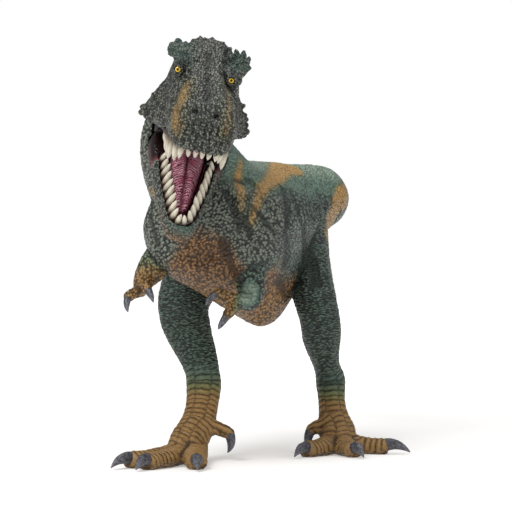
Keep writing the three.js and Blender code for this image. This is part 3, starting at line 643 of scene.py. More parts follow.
class Bench:
    """The operators that pieces are made with."""

    @staticmethod
    def clear() -> None:
        """Deselects every object."""
        for item in bpy.context.view_layer.objects:
            item.select_set(False)

    @staticmethod
    def pick(item: bpy.types.Object) -> None:
        """Selects one object alone and makes it active."""
        Bench.clear()
        item.select_set(True)
        bpy.context.view_layer.objects.active = item

    @staticmethod
    def taken(name: str) -> bpy.types.Object:
        """Names the object that a primitive operator has just made."""
        item = bpy.context.view_layer.objects.active
        item.name = name
        item.data.name = name
        return item

    @staticmethod
    def copy_node(node: str, name: str) -> bpy.types.Object:
        """A copy of a CAD node's skin with its doubles merged.

        Args:
            node: the CAD node.
            name: the copy's name.

        Returns:
            The copy, free of the frame.
        """
        source = frame["nodes"][node]
        item = bpy.data.objects.new(name, source.data.copy())
        item.data.materials.clear()
        bpy.context.scene.collection.objects.link(item)
        Bench.pick(item)
        bpy.ops.object.mode_set(mode="EDIT")
        bpy.ops.mesh.select_all(action="SELECT")
        bpy.ops.mesh.remove_doubles(threshold=WELD * MM)
        bpy.ops.object.mode_set(mode="OBJECT")
        return item

    @staticmethod
    def modify(item: bpy.types.Object, kind: str, **settings: object) -> bpy.types.Object:
        """Adds a modifier and applies it."""
        Bench.pick(item)
        modifier = item.modifiers.new(kind.lower(), kind)
        for name, value in settings.items():
            setattr(modifier, name, value)
        bpy.ops.object.modifier_apply(modifier=modifier.name)
        return item

    @staticmethod
    def join(items: Sequence[bpy.types.Object], name: str) -> bpy.types.Object:
        """Joins objects into one mesh."""
        Bench.clear()
        for item in items:
            item.select_set(True)
        bpy.context.view_layer.objects.active = items[0]
        bpy.ops.object.join()
        return Bench.taken(name)

    @staticmethod
    def remesh(item: bpy.types.Object, voxel: float) -> bpy.types.Object:
        """Fuses what overlaps into one skin of even cells, in millimetres."""
        return Bench.modify(item, "REMESH", mode="VOXEL", voxel_size=voxel * MM, adaptivity=0.0)

    @staticmethod
    def smooth(item: bpy.types.Object, rounds: int, factor: float = 0.5) -> bpy.types.Object:
        """Smooths the skin."""
        return Bench.modify(item, "SMOOTH", factor=factor, iterations=rounds)

    @staticmethod
    def pebble(item: bpy.types.Object, pitch: float, height: float, middle: float = 0.45) -> bpy.types.Object:
        """Raises low round pebbles all over the skin, with their pitch and height in millimetres."""
        texture = bpy.data.textures.new(f"{item.name}_pebbles", "VORONOI")
        texture.noise_scale = pitch * MM
        texture.noise_intensity = 1.0
        return Bench.modify(
            item, "DISPLACE", texture=texture, texture_coords="LOCAL", mid_level=middle,
            strength=-height * MM)

    @staticmethod
    def knob(name: str, taper: float = 0.3) -> bpy.types.Object:
        """A round-topped knob of 1 mm radius that narrows to a blunt point, modelled once."""
        Bench.clear()
        bpy.ops.mesh.primitive_ico_sphere_add(subdivisions=3, radius=MM, location=(0, 0, 0))
        item = Bench.taken(name)
        clay = Clay(item)
        rise = np.clip(clay.points[:, 2], 0, 1)
        clay.points[:, :2] *= (1 - taper * rise ** 2)[:, None]
        clay.write()
        return item

    @staticmethod
    def copies(model: bpy.types.Object, matrices: Sequence[Matrix]) -> list[bpy.types.Object]:
        """Copies of a model, each with its own mesh, placed by matrices in millimetres.

        Args:
            model: the object that is copied and then removed.
            matrices: one place for each copy.

        Returns:
            The copies.
        """
        made = []
        for number, matrix in enumerate(matrices):
            item = bpy.data.objects.new(f"{model.name}_{number}", model.data.copy())
            bpy.context.scene.collection.objects.link(item)
            item.data.transform(Matrix.Scale(MM, 4) @ matrix @ Matrix.Scale(1 / MM, 4))
            made.append(item)
        bpy.data.objects.remove(model)
        return made

    @staticmethod
    def dress(
        item: bpy.types.Object, material: bpy.types.Material, body: Body, slot: Slot,
    ) -> bpy.types.Object:
        """Gives a finished piece its material, smooth shading and body."""
        item.data.materials.clear()
        item.data.materials.append(material)
        Bench.pick(item)
        bpy.ops.object.shade_smooth()
        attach(item, body.value)
        return item


def ramp(values: np.ndarray, run: float) -> np.ndarray:
    """A rise from 0 to 1 over a run of the values, level beyond it."""
    return np.clip(values / run, 0, 1)


def bell(distance: np.ndarray, radius: float) -> np.ndarray:
    """1 where the distance is 0, fading out past the radius."""
    return np.exp(-(distance / radius) ** 2)


class Clay:
    """The points of a skin, in millimetres, moved and marked in code."""

    def __init__(self, item: bpy.types.Object) -> None:
        """Reads the points and normals of an object's mesh."""
        self.item = item
        self.count = len(item.data.vertices)
        self.points = np.zeros(self.count * 3, np.float32)
        item.data.vertices.foreach_get("co", self.points)
        self.points = self.points.reshape(-1, 3).astype(float) / MM
        self.read_normals()

    def read_normals(self) -> None:
        """Reads the normals of the mesh as it is now."""
        normals = np.zeros(self.count * 3, np.float32)
        self.item.data.vertex_normals.foreach_get("vector", normals)
        self.normals = normals.reshape(-1, 3).astype(float)

    def write(self) -> None:
        """Puts the moved points back into the mesh."""
        flat = (self.points * MM).astype(np.float32).ravel()
        self.item.data.vertices.foreach_set("co", flat)
        self.item.data.update()
        self.read_normals()

    def along_line(
        self, line: Sequence[Sequence[float]], points: np.ndarray | None = None,
    ) -> tuple[np.ndarray, np.ndarray, np.ndarray]:
        """Distance from a bent line.

        Args:
            line: points of x, y, z and any further values in millimetres.
            points: the points to measure, or None for the skin's own.

        Returns:
            Distances, lengths along the line, and the further values there.
        """
        points = self.points if points is None else points
        best = np.full(len(points), np.inf)
        run = np.zeros(len(points))
        extra = np.zeros((len(points), len(line[0]) - 3))
        gone = 0.0
        for start, end in zip(line[:-1], line[1:]):
            a, b = np.array(start, float), np.array(end, float)
            way = b[:3] - a[:3]
            length = float(np.linalg.norm(way))
            t = np.clip((points - a[:3]) @ way / length ** 2, 0, 1)
            distance = np.linalg.norm(points - a[:3] - t[:, None] * way, axis=1)
            near = distance < best
            best[near] = distance[near]
            run[near] = gone + t[near] * length
            extra[near] = (a[3:] + t[:, None] * (b[3:] - a[3:]))[near]
            gone += length
        return best, run, extra

    def push(
        self, line: Sequence[Triple], radius: float, height: float, mask: np.ndarray | float = 1.0,
    ) -> None:
        """Raises (or with a negative height sinks) the skin along a bent line, where the mask lets it."""
        distance, _, _ = self.along_line(line)
        self.points += self.normals * (height * bell(distance, radius) * mask)[:, None]

    def wash_and_shade(self, line: Sequence[Triple], radius: float, depth: float) -> np.ndarray:
        """How much painted shade gathers along a bent line, most on the line itself."""
        distance, _, _ = self.along_line(line)
        return depth * bell(distance, radius)

    def shrink_onto(
        self, line: Sequence[Triple], radius: float, start: float = 0.2, keep: float = 0.45,
        tip_keep: float = 0.63, rim_share: float = 0.25, start_run: float = 0.125,
    ) -> None:
        """Draws the skin round a bent line in and back, so that a piece over it covers it.

        Args:
            line: points from the root to the tip.
            radius: how far from the line the skin is drawn in.
            start: share of the line from which it is.
            keep: share of its girth that is left.
            tip_keep: share of its length past the start that is left.
            rim_share: share of the radius over which it fades in.
            start_run: share of the line over which it fades in.
        """
        distance, run, _ = self.along_line(line)
        steps = np.r_[0, np.cumsum([math.dist(a, b) for a, b in zip(line[:-1], line[1:])])]
        share = run / steps[-1]
        back = np.where(share > start, start + (share - start) * tip_keep, share) * steps[-1]
        near = ramp(radius - distance, radius * rim_share) * ramp(share - start, start_run)
        points = np.array(line)
        here = np.column_stack([np.interp(run, steps, axis) for axis in points.T])
        there = np.column_stack([np.interp(back, steps, axis) for axis in points.T])
        goal = there + (self.points - here) * keep
        self.points += (goal - self.points) * near[:, None]

    def mark(self, name: str, values: np.ndarray) -> None:
        """Stores a value on each point for the shader."""
        layer = self.item.data.attributes.get(name)
        layer = layer or self.item.data.attributes.new(name, "FLOAT", "POINT")
        layer.data.foreach_set("value", values.astype(np.float32))

    def mark_zones(self, zones: dict[str, np.ndarray], blurs: dict[str, int]) -> None:
        """Stores every zone of the hide's paint, 0 where a zone isn't given."""
        for name in HIDE_ZONES:
            values = zones.get(name, np.zeros(self.count))
            if name in ZONE_SPANS:
                values = np.clip(values, *ZONE_SPANS[name])
            self.mark(name, self.blurred(values, blurs.get(name, 0)))

    def blurred(self, values: np.ndarray, rounds: int, keep: float = 0.4) -> np.ndarray:
        """Values averaged with their neighbours' over the mesh, keeping a share of each point's own."""
        edges = np.zeros(len(self.item.data.edges) * 2, np.int32)
        self.item.data.edges.foreach_get("vertices", edges)
        first, second = edges.reshape(-1, 2).T
        number = np.bincount(first, minlength=self.count) + np.bincount(second, minlength=self.count)
        for _ in range(rounds):
            total = np.bincount(first, values[second], self.count)
            total = total + np.bincount(second, values[first], self.count)
            values = keep * values + (1 - keep) * total / np.maximum(number, 1)
        return values


# Head frame

@dataclass
class HeadFrame:
    """The head's own axes, with the jaw's hinge at the origin and the snout along -Y."""

    yaw: float = 5.0
    pitch: float = 11.0
    roll: float = 11.5
    opening: float = 34.0

    def skull(self) -> Matrix:
        """From the skull's frame to the row frame, in millimetres."""
        hinge = Vector(frame["joints"][0]["pos_m"]) / MM
        turns = [("Z", self.yaw), ("X", self.pitch), ("Y", self.roll)]
        matrix = Matrix.Translation(hinge)
        for axis, angle in turns:
            matrix = matrix @ Matrix.Rotation(math.radians(angle), 4, axis)
        return matrix

    def jaw(self) -> Matrix:
        """From the jaw's frame, at the photographed opening, to the row frame."""
        return self.skull() @ Matrix.Rotation(math.radians(self.opening), 4, "X")

    @staticmethod
    def inside(points: np.ndarray, matrix: Matrix) -> np.ndarray:
        """Points of the row frame in a local frame."""
        back = np.array(matrix.inverted())
        return points @ back[:3, :3].T + back[:3, 3]


# Hide of trunk, tail, limbs and skull

@dataclass(frozen=True)
class Orbit:
    """One eye in the head's frame: its place, where it looks, and the radius of the ball."""

    name: str
    place: Triple
    gaze: Triple
    radius: float = 1.5

    def in_row(self, head: HeadFrame) -> tuple[Vector, Vector]:
        """Its place in millimetres and its gaze in the row frame."""
        matrix = head.skull()
        return matrix @ Vector(self.place), (matrix.to_3x3() @ Vector(self.gaze)).normalized()


ORBITS = (
    Orbit("right_eye", (-9.9, -22.2, 19.75), (-0.16, -0.98, 0.1)),
    Orbit("left_eye", (6.8, -25.2, 20.1), (0.02, -0.99, 0.1)),
)


@dataclass
class Stroke:
    """A painted stripe on the flank, mirrored across the back: points of x, y, z and half width."""

    points: tuple[Row, ...]


@dataclass
class Crease:
    """A modelled fold: a bent line that is sunk (or raised, with a negative depth)."""

    points: tuple[Triple, ...]
    radius: float
    depth: float


@dataclass
class Foot:
    """One foot: shank, toes to the knuckle behind the claw, and the height of its ochre paint."""

    side: str
    shank: tuple[Triple, ...]
    toes: tuple[tuple[Triple, ...], ...]
    ochre_height: float


@dataclass
class HeadRelief:
    """Knobs, folds, pits and paint of the upper head, in the head's frame: places, radius and height."""

    brow_knobs: tuple[tuple[float, ...], ...] = (
        (-14.0, -16.5, 25.2, 1.5, 1.7), (-12.6, -18.6, 26.6, 1.4, 1.6), (-10.6, -20.0, 27.0, 1.5, 1.5),
        (-8.9, -22.0, 26.0, 1.3, 1.2), (-13.9, -13.0, 26.2, 1.4, 1.6), (-11.4, -14.5, 27.8, 1.5, 1.7),
        (-14.6, -13.5, 22.8, 1.1, 1.1), (-7.9, -24.6, 23.6, 1.1, 0.9),
        (7.6, -15.5, 28.0, 1.2, 2.4), (9.4, -18.0, 27.7, 1.2, 2.6), (11.2, -20.6, 26.6, 1.2, 2.5),
        (11.9, -21.6, 24.4, 1.1, 1.7), (8.4, -21.6, 26.2, 1.3, 1.5), (6.4, -24.4, 24.6, 1.2, 1.1),
        (6.2, -19.5, 26.9, 1.1, 1.2),
    )
    crown_knobs: tuple[tuple[float, ...], ...] = (
        (-8.0, -7.6, 27.6, 0.8, 0.7), (-6.3, -8.0, 28.7, 0.8, 0.85), (-4.6, -8.6, 29.6, 0.8, 0.85),
        (-2.8, -10.6, 30.0, 0.8, 0.85), (-0.9, -11.8, 29.8, 0.8, 0.85), (1.0, -12.5, 29.5, 0.8, 0.85),
        (2.8, -13.3, 29.0, 0.8, 0.8), (4.5, -14.2, 28.2, 0.8, 0.8), (-4.0, -4.0, 30.0, 0.8, 0.85),
        (0.0, -6.5, 30.3, 0.8, 0.85), (3.6, -8.5, 29.8, 0.8, 0.8), (6.4, -9.5, 28.6, 0.8, 0.7),
    )
    cheek_knobs: tuple[tuple[float, ...], ...] = (
        (-17.2, -8.4, 3.2, 1.2, 1.1), (-17.6, -6.0, 2.0, 1.3, 1.2), (-16.4, -10.8, 1.7, 1.1, 1.0),
        (-14.8, -14.0, 2.0, 1.0, 0.9), (-17.1, -3.6, 3.6, 1.1, 1.0), (-16.3, -9.5, 6.2, 0.9, 0.9),
        (-15.7, -8.5, 9.2, 0.9, 0.8), (16.7, -7.0, 5.2, 1.2, 1.1), (17.0, -9.6, 3.4, 1.3, 1.2),
        (16.6, -12.0, 2.2, 1.1, 1.0), (14.9, -15.2, 2.0, 1.0, 0.9), (16.9, -4.4, 6.8, 1.1, 1.0),
        (16.2, -8.5, 8.6, 0.9, 0.9), (15.4, -8.0, 11.6, 0.9, 0.8), (13.0, -17.5, 2.4, 0.9, 0.8),
    )
    ridges: tuple[tuple[tuple[Triple, ...], float, float], ...] = (
        (((-6.6, -25.5, 22.4), (-4.7, -36.3, 18.6), (-4.6, -45.0, 15.2)), 1.4, 1.1),
        (((4.4, -27.5, 22.4), (3.5, -35.0, 19.2), (3.3, -45.0, 15.2)), 1.4, 1.1),
        (((-1.5, -20.0, 26.0), (-1.2, -35.0, 19.8), (-0.9, -47.0, 14.8)), 1.2, -1.0),
        (((-8.2, -12.0, 28.0), (-7.4, -19.0, 26.4), (-6.4, -25.0, 23.0)), 1.3, -1.1),
        (((5.6, -12.0, 28.4), (4.9, -18.0, 26.2), (4.2, -26.0, 22.6)), 1.2, -0.9),
        (((-11.5, -28.0, 16.5), (-11.2, -36.0, 12.0), (-9.8, -44.0, 9.5)), 1.7, -0.9),
        (((9.6, -29.0, 16.5), (9.6, -36.0, 12.0), (8.6, -44.0, 9.5)), 1.7, -0.9),
        (((-13.6, -22.0, 15.5), (-15.0, -14.0, 9.0)), 1.8, -0.9),
        (((12.4, -22.0, 16.5), (14.6, -14.0, 10.0)), 1.8, -0.9),
        (((-4.5, -52.0, 11.2), (-4.5, -46.0, 11.2)), 0.85, -1.5),
        (((2.6, -52.0, 10.9), (2.6, -46.0, 10.9)), 0.85, -1.5),
    )
    lip_lines: tuple[float, ...] = (-9.4, -7.6, -5.6, -3.7, -1.8, 0.1, 2.0, 4.0, 6.0, 7.9)
    lip_front: float = -44.0
    lip_top: float = 9.5
    lip_fade: float = 2.0
    lip_depth: float = 0.7
    lip_width: float = 0.42
    pit_fill: Triple = (4.3, -47.6, 11.1)
    pit_fill_radius: float = 1.8
    knob_reach: float = 1.6
    knob_lift: float = 0.4
    # Share of a ridge's height that turns into painted shade in the furrows and a painted highlight on the
    # ridges.
    shade_share: float = 0.2
    orbit_spreads: tuple[float, ...] = (0, 0.95, 1.1, 1.55, 2.1, 2.9)
    orbit_levels: tuple[float, ...] = (0.2, 0.3, 1.1, 1.35, 0.8, 0.1)
    orbit_fade: Span = (2.3, 4.4)
    orbit_reach: float = 4.5
    orbit_rise: float = 0.9
    lid_spreads: tuple[float, ...] = (0.7, 1.1, 2.2, 3.2)
    lid_shares: tuple[float, ...] = (0.0, 1.0, 0.8, 0.0)
    lid_reach: float = 1.5
    lid_start: float = 0.2
    lid_run: float = 0.8
    lid_out: float = 0.3
    lid_drop: float = 0.55
    rim_radius: float = 1.9
    rim_width: float = 0.7
    rim_shade: float = 0.22
    paint_inset: float = 0.3
    ochre: tuple[tuple[float, ...], ...] = (
        (-7.2, -33.0, 17.0, 1.2), (-8.2, -40.0, 13.0, 3.4), (-8.2, -43.5, 9.0, 4.4), (-8.0, -45.5, 5.5, 3.2))
    moss: tuple[tuple[float, ...], ...] = (
        (4.8, -33.0, 18.5, 0.5), (5.6, -42.0, 15.0, 1.0), (5.8, -48.0, 11.5, 1.3), (6.6, -49.0, 6.5, 0.9))

    def knob_places(self, matrix: Matrix) -> list[Matrix]:
        """Where the knobs stand: half sunk in the skull's skin, square to it and a little upwards."""
        mesh = frame["nodes"]["skull"].data
        corners = [v.co / MM for v in mesh.vertices]
        tree = BVHTree.FromPolygons(corners, [list(face.vertices) for face in mesh.polygons])
        places = []
        for x, y, z, radius, height in (*self.brow_knobs, *self.crown_knobs, *self.cheek_knobs):
            aim = matrix @ Vector((x, y, z))
            seat, normal, _, _ = tree.find_nearest(aim)
            stand = (normal + (aim - seat).normalized() + Vector((0, 0, self.knob_lift))).normalized()
            turn = stand.to_track_quat("Z", "Y").to_matrix().to_4x4()
            reach = min((aim - seat).length, self.knob_reach)
            size = Matrix.Diagonal((radius, radius, height, 1.0))
            places.append(Matrix.Translation(seat + stand * reach * 0.5) @ turn @ size)
        return places

    def sculpt(self, clay: "Clay", local: np.ndarray, matrix: Matrix, mask: np.ndarray) -> None:
        """Presses the ridges, furrows, nostrils and lip lines into the skin of the head."""
        front = ramp(self.lip_front - local[:, 1], self.lip_fade)
        front = front * ramp(self.lip_top - local[:, 2], self.lip_fade)
        for line, radius, height in self.ridges:
            clay.push([tuple(matrix @ Vector(point)) for point in line], radius, height, mask)
        lines = np.abs(local[:, :1] - np.array(self.lip_lines)).min(axis=1)
        clay.points -= clay.normals * (self.lip_depth * bell(lines, self.lip_width) * front * mask)[:, None]

    def sink_orbit(self, clay: "Clay", place: Vector, gaze: Vector, up: Vector, mask: np.ndarray) -> None:
        """Shapes the hollow of an eye, and the lids round the ball, the upper one drawn down."""
        offset = clay.points - np.array(place)
        depth = offset @ np.array(gaze)
        spread = np.linalg.norm(offset - depth[:, None] * np.array(gaze), axis=1)
        target = np.interp(spread, self.orbit_spreads, self.orbit_levels)
        weight = np.interp(spread, self.orbit_fade, (1, 0)) * (depth > -self.orbit_reach) * mask
        shift = np.clip(target - depth, -self.orbit_reach, self.orbit_rise) * weight
        clay.points += np.array(gaze) * shift[:, None]
        lid = np.interp(spread, self.lid_spreads, self.lid_shares) * (depth > -self.lid_reach) * mask
        lid *= ramp(offset @ np.array(up) - self.lid_start, self.lid_run)
        clay.points += (np.array(gaze) * self.lid_out - np.array(up) * self.lid_drop) * lid[:, None]

    def paint(self, clay: "Clay", matrix: Matrix) -> np.ndarray:
        """Distance inside the ochre patch and the yellow-green streak of the snout, in millimetres."""
        inside = np.full(clay.count, OUTSIDE)
        for line in (self.ochre, self.moss):
            placed = [(*(matrix @ Vector(point[:3])), point[3]) for point in line]
            distance, _, width = clay.along_line(placed)
            inside = np.maximum(inside, width[:, 0] - distance)
        return inside - self.paint_inset

    def shadow(self, clay: "Clay", head: HeadFrame) -> np.ndarray:
        """Painted shade round the eyes and in the furrows, and, below 0, a painted highlight on the ridges.
        """
        shade = np.zeros(clay.count)
        for orbit in ORBITS:
            place, _ = orbit.in_row(head)
            away = np.linalg.norm(clay.points - np.array(place), axis=1)
            shade += bell(away - self.rim_radius, self.rim_width) * self.rim_shade
        matrix = head.skull()
        for line, radius, height in self.ridges:
            placed = [tuple(matrix @ Vector(point)) for point in line]
            shade -= clay.wash_and_shade(placed, radius, height * self.shade_share)
        return shade


@dataclass
class Hide:
    """The hide of trunk, tail, legs, arms and skull: fused, sculpted, marked for paint and parted again."""

    head: HeadFrame
    relief: HeadRelief = field(default_factory=HeadRelief)
    voxel: float = 0.5
    swell: float = 0.16
    nodes: tuple[str, ...] = ("torso", "tail", "right_leg", "left_leg", "right_arm", "left_arm", "skull")
    back_y: tuple[float, ...] = (-91, -76, -60, -42, -25, -10, 3, 15, 32, 52, 71, 91, 109, 125, 137)
    back_x: tuple[float, ...] = (-21.5, -18, -13, -6.5, 0, 6, 12, 17.5, 22.5, 23, 18.5, 11, 2.5, -3.5, -6.5)
    belly_y: tuple[float, ...] = (-93, -83, -71, -56, -41, -21, -1, 19, 49, 89, 139)
    belly_z: tuple[float, ...] = (79, 76, 67, 62.5, 62, 64, 73, 80, 79, 79, 86)
    chest_bend: float = 0.06
    scute_pitch: float = 2.05
    pebble_pitch: float = 1.3
    pebble_height: float = 0.3
    smoothing: int = 4
    fine_front: float = -10.0
    fine_floor: float = 4.0
    off_trunk: float = -6.0
    chest_front: float = -74.0
    chest_run: float = 6.0
    back_corner: Triple = (-17.0, -88.0, 91.0)
    back_slopes: Triple = (0.6, 0.5, 0.8)
    rump_length: float = 50.0
    rump_gain: float = 0.06
    elbow: Triple = (-6.0, -88.0, 58.0)
    elbow_radius: float = 4.8
    elbow_slope: float = 6.0
    brow_corner: Triple = (6.0, 8.0, 22.5)
    brow_slopes: Triple = (1.0, 0.5, 1.0)
    brow_limit: float = 1.0
    right_hand_top: float = 66.0
    left_hand_side: float = -10.5
    left_hand_slope: float = 2.5
    neck_corner: Triple = (-17.0, -72.0, 88.0)
    neck_slopes: Triple = (0.7, 0.3, 0.15)
    row_y: tuple[float, ...] = (0, 22.5, 31, 39, 44.5, 46.5)
    row_x: tuple[float, ...] = (9.8, 9.54, 9.18, 8.1, 4.86, 0)
    lip: float = 1.2
    palate: float = 1.8
    mouth_back: float = 3.0
    # Painted shade in the groin: its middle, its reach and its darkness.
    groin: Triple = (14.0, -42.0, 76.0)
    groin_reach: Triple = (5.0, 16.0, 16.0)
    groin_shade: float = 0.2
    # Painted shade along the folds, its width and darkness taken from each crease.
    fold_width_share: float = 1.1
    fold_shade_share: float = 0.45
    scute_columns: tuple[Span, ...] = ((-2.6, 0.4), (0.0, -0.6), (2.6, 0.4))
    scute_facing: Triple = (0.0, -0.8, 0.6)
    scute_turn: Span = (1.6, 0.1)
    scute_top: float = 34.0
    scute_fade: float = 6.0
    sole: float = 0.6
    sole_fade: float = 1.5
    gutter_width: float = 0.45
    gutter_depth: float = 0.42
    claw_share: float = 0.85
    stripes: tuple[Stroke, ...] = (
        Stroke(((-9, -78, 101, 0.8), (-9, -81.5, 96.5, 1.6), (-8.7, -88, 90, 1.5), (-8.4, -91, 85, 0.6))),
        Stroke(((10.5, -12, 101.5, 3.5), (6, -26, 102.5, 4.6), (3.4, -50, 97.5, 3.1), (1.0, -66, 94.8, 2.2),
                (-1.5, -79.3, 92.1, 1.8), (-3.8, -88.8, 85, 1.2), (-5, -90.5, 80, 0.4))),
        Stroke(((31, 24, 93, 4.5), (28, 8, 90, 5.0), (25.5, 4, 86.1, 6.2), (23, -1, 81.3, 5.2),
                (21.2, -20, 77.5, 2.6))),
        Stroke(((23, 37, 104, 2.4), (31, 38, 97, 2.2), (33, 35, 88, 1.2))),
        Stroke(((22, 57, 101, 2.0), (29, 57, 93, 1.8), (30, 53, 85, 0.9))),
        Stroke(((18, 76, 96, 1.7), (23, 76, 90, 1.5), (24, 73, 84, 0.7))),
        Stroke(((11, 94, 93, 1.4), (15, 93, 88, 1.2), (15, 91, 83, 0.6))),
        Stroke(((3, 112, 91, 1.1), (6, 111, 87, 0.8))),
    )
    right_foot: Foot = field(default_factory=lambda: Foot(
        "right",
        ((-23.8, -40.6, 36), (-22, -42, 30), (-21.5, -43.1, 25.5), (-22, -46.6, 19), (-23.5, -51.6, 12.5)),
        (((-27.5, -57, 8), (-36, -70.6, 3.6), (-44.5, -78, 2.6)),
         ((-27, -58.5, 8), (-33, -74.6, 3.6), (-39, -83.6, 2.6)),
         ((-24, -58.5, 8), (-24, -73.6, 3.6), (-23, -83, 2.6))), 24.0))
    left_foot: Foot = field(default_factory=lambda: Foot(
        "left",
        ((20.7, -18.6, 35), (22, -14, 30), (23.2, -11.6, 25.5), (23.5, -13, 19), (24.2, -15.6, 12.5)),
        (((23.5, -20.5, 8), (20, -29.6, 3.6), (14.5, -36, 2.6)),
         ((26.5, -21, 8), (28, -30.6, 3.6), (30.5, -37, 2.6)),
         ((29, -18.6, 8), (33.5, -22.6, 3.6), (41.5, -24, 2.6))), 19.0))
    creases: tuple[Crease, ...] = (
        Crease(((6.2, -57, 93), (7.1, -73.5, 84), (6.8, -77, 77.9), (7.1, -71.5, 73), (6.9, -62.5, 67.6)),
               2.4, 1.2),
        Crease(((9.8, -50, 91.5), (11.7, -59.4, 83.2), (13.3, -46.3, 76.2), (15.7, -33.7, 67.6),
                (17, -35, 61)), 2.0, 1.3),
        Crease(((16.5, -33, 73), (17.6, -32.9, 67.9), (19.1, -34.5, 60)), 0.9, 0.7),
        Crease(((11.6, -48, 88), (13.2, -50, 80), (15.6, -36, 70)), 0.9, 0.5),
        Crease(((-14.4, -89.7, 74.5), (-12, -90.3, 68.1), (-9.4, -85.2, 61)), 1.6, 1.0),
        Crease(((-11.5, -92, 92), (-10.6, -91.5, 84), (-9.4, -90, 78)), 1.2, 0.45),
        Crease(((-6.5, -90, 92), (-6, -90, 84), (-6.5, -89, 77)), 1.2, 0.4),
        Crease(((-38.5, -77, 88), (-38, -82, 80), (-35.6, -83.8, 73.6)), 1.3, 0.6),
        Crease(((3.2, -59, 62), (5.5, -45, 58.5), (7.4, -30, 55.6)), 2.0, 0.7),
        Crease(((-14, -91, 92), (-11, -92, 86), (-7, -90, 80), (-4, -86, 74)), 1.6, 0.9),
        Crease(((-8, -91, 96), (-5, -90, 88), (0, -85, 80), (3, -78, 73)), 1.5, 0.8),
        Crease(((-34, -82, 98), (-33, -88, 90), (-28, -91, 83)), 1.5, 0.8),
    )

    def build(self) -> dict[str, bpy.types.Object]:
        """Makes the hide.

        Returns:
            One closed piece for each CAD node, by the node's name.
        """
        copies = [Bench.copy_node(node, f"{node}_skin") for node in self.nodes]
        for item in copies:
            Bench.modify(item, "SUBSURF", levels=1, render_levels=1)
            Bench.modify(item, "DISPLACE", strength=self.swell * MM, mid_level=0.0)
        skin = Bench.join(copies + self.head_lumps(), "hide")
        Bench.remesh(skin, self.voxel)
        Bench.smooth(skin, self.smoothing)
        self.refine_head(skin)
        Bench.pebble(skin, self.pebble_pitch, self.pebble_height)
        clay = Clay(skin)
        owners = self.owners(clay.points)
        self.sculpt(clay, owners)
        self.mark(clay, owners)
        return self.part(skin, owners)

    def head_lumps(self) -> list[bpy.types.Object]:
        """Knobs of the brows, crown and cheek corners, and a plug for one nostril, for the skull's skin."""
        matrix = self.head.skull()
        places = self.relief.knob_places(matrix)
        plug = Matrix.Translation(self.relief.pit_fill) @ Matrix.Scale(self.relief.pit_fill_radius, 4)
        return Bench.copies(Bench.knob("head_knob"), [*places, matrix @ plug])

    def refine_head(self, skin: bpy.types.Object) -> None:
        """Halves the cells of the upper head, so that the eyelids and knobs are sharp."""
        clay = Clay(skin)
        local = self.head.inside(clay.points, self.head.skull())
        near = (local[:, 1] < self.fine_front) & (local[:, 2] > self.fine_floor)
        faces = np.zeros(len(skin.data.polygons) * 4, np.int32)
        skin.data.polygons.foreach_get("vertices", faces)
        chosen = near[faces.reshape(-1, 4)].all(axis=1)
        Bench.pick(skin)
        bpy.ops.object.mode_set(mode="EDIT")
        bpy.ops.mesh.select_mode(type="FACE")
        bpy.ops.mesh.select_all(action="DESELECT")
        bpy.ops.object.mode_set(mode="OBJECT")
        skin.data.polygons.foreach_set("select", chosen)
        bpy.ops.object.mode_set(mode="EDIT")
        bpy.ops.mesh.subdivide(number_cuts=1, smoothness=0.0)
        bpy.ops.object.mode_set(mode="OBJECT")

    def owners(self, points: np.ndarray) -> np.ndarray:
        """The number of the nearest CAD node for each point."""
        vertices, faces, number = [], [], []
        for index, node in enumerate(self.nodes):
            mesh = frame["nodes"][node].data
            start = len(vertices)
            vertices += [v.co / MM for v in mesh.vertices]
            faces += [[start + corner for corner in face.vertices] for face in mesh.polygons]
            number += [index] * len(mesh.polygons)
        tree = BVHTree.FromPolygons(vertices, faces)
        return np.array([number[tree.find_nearest(Vector(point))[2]] for point in points])

    def belongs(self, owners: np.ndarray, *names: str) -> np.ndarray:
        """1 where a point belongs to one of the named nodes, and 0 elsewhere."""
        return np.isin(owners, [self.nodes.index(name) for name in names]).astype(float)

    def sculpt(self, clay: Clay, owners: np.ndarray) -> None:
        """Folds, toe scutes, the relief of the head, and hollows under the claws."""
        skull = self.belongs(owners, "skull")
        matrix = self.head.skull()
        local = self.head.inside(clay.points, matrix)
        up = matrix.to_3x3() @ Vector((0, 0, 1))
        for crease in self.creases:
            clay.push(crease.points, crease.radius, -crease.depth, 1 - skull)
        self.relief.sculpt(clay, local, matrix, skull)
        for orbit in ORBITS:
            self.relief.sink_orbit(clay, *orbit.in_row(self.head), up, skull)
        for foot in (self.right_foot, self.left_foot):
            bands, column, mask = self.scutes(clay, owners, foot)
            wave = np.abs((bands % 1.0) - 0.5) * 2
            groove = np.maximum(wave ** 2, bell(column, self.gutter_width))
            clay.points -= clay.normals * (groove * self.gutter_depth * mask)[:, None]
        for claw in CLAWS:
            clay.shrink_onto(claw.line(), claw.width * self.claw_share)
        clay.points[:, 2] = np.maximum(clay.points[:, 2], 0.0)
        clay.write()

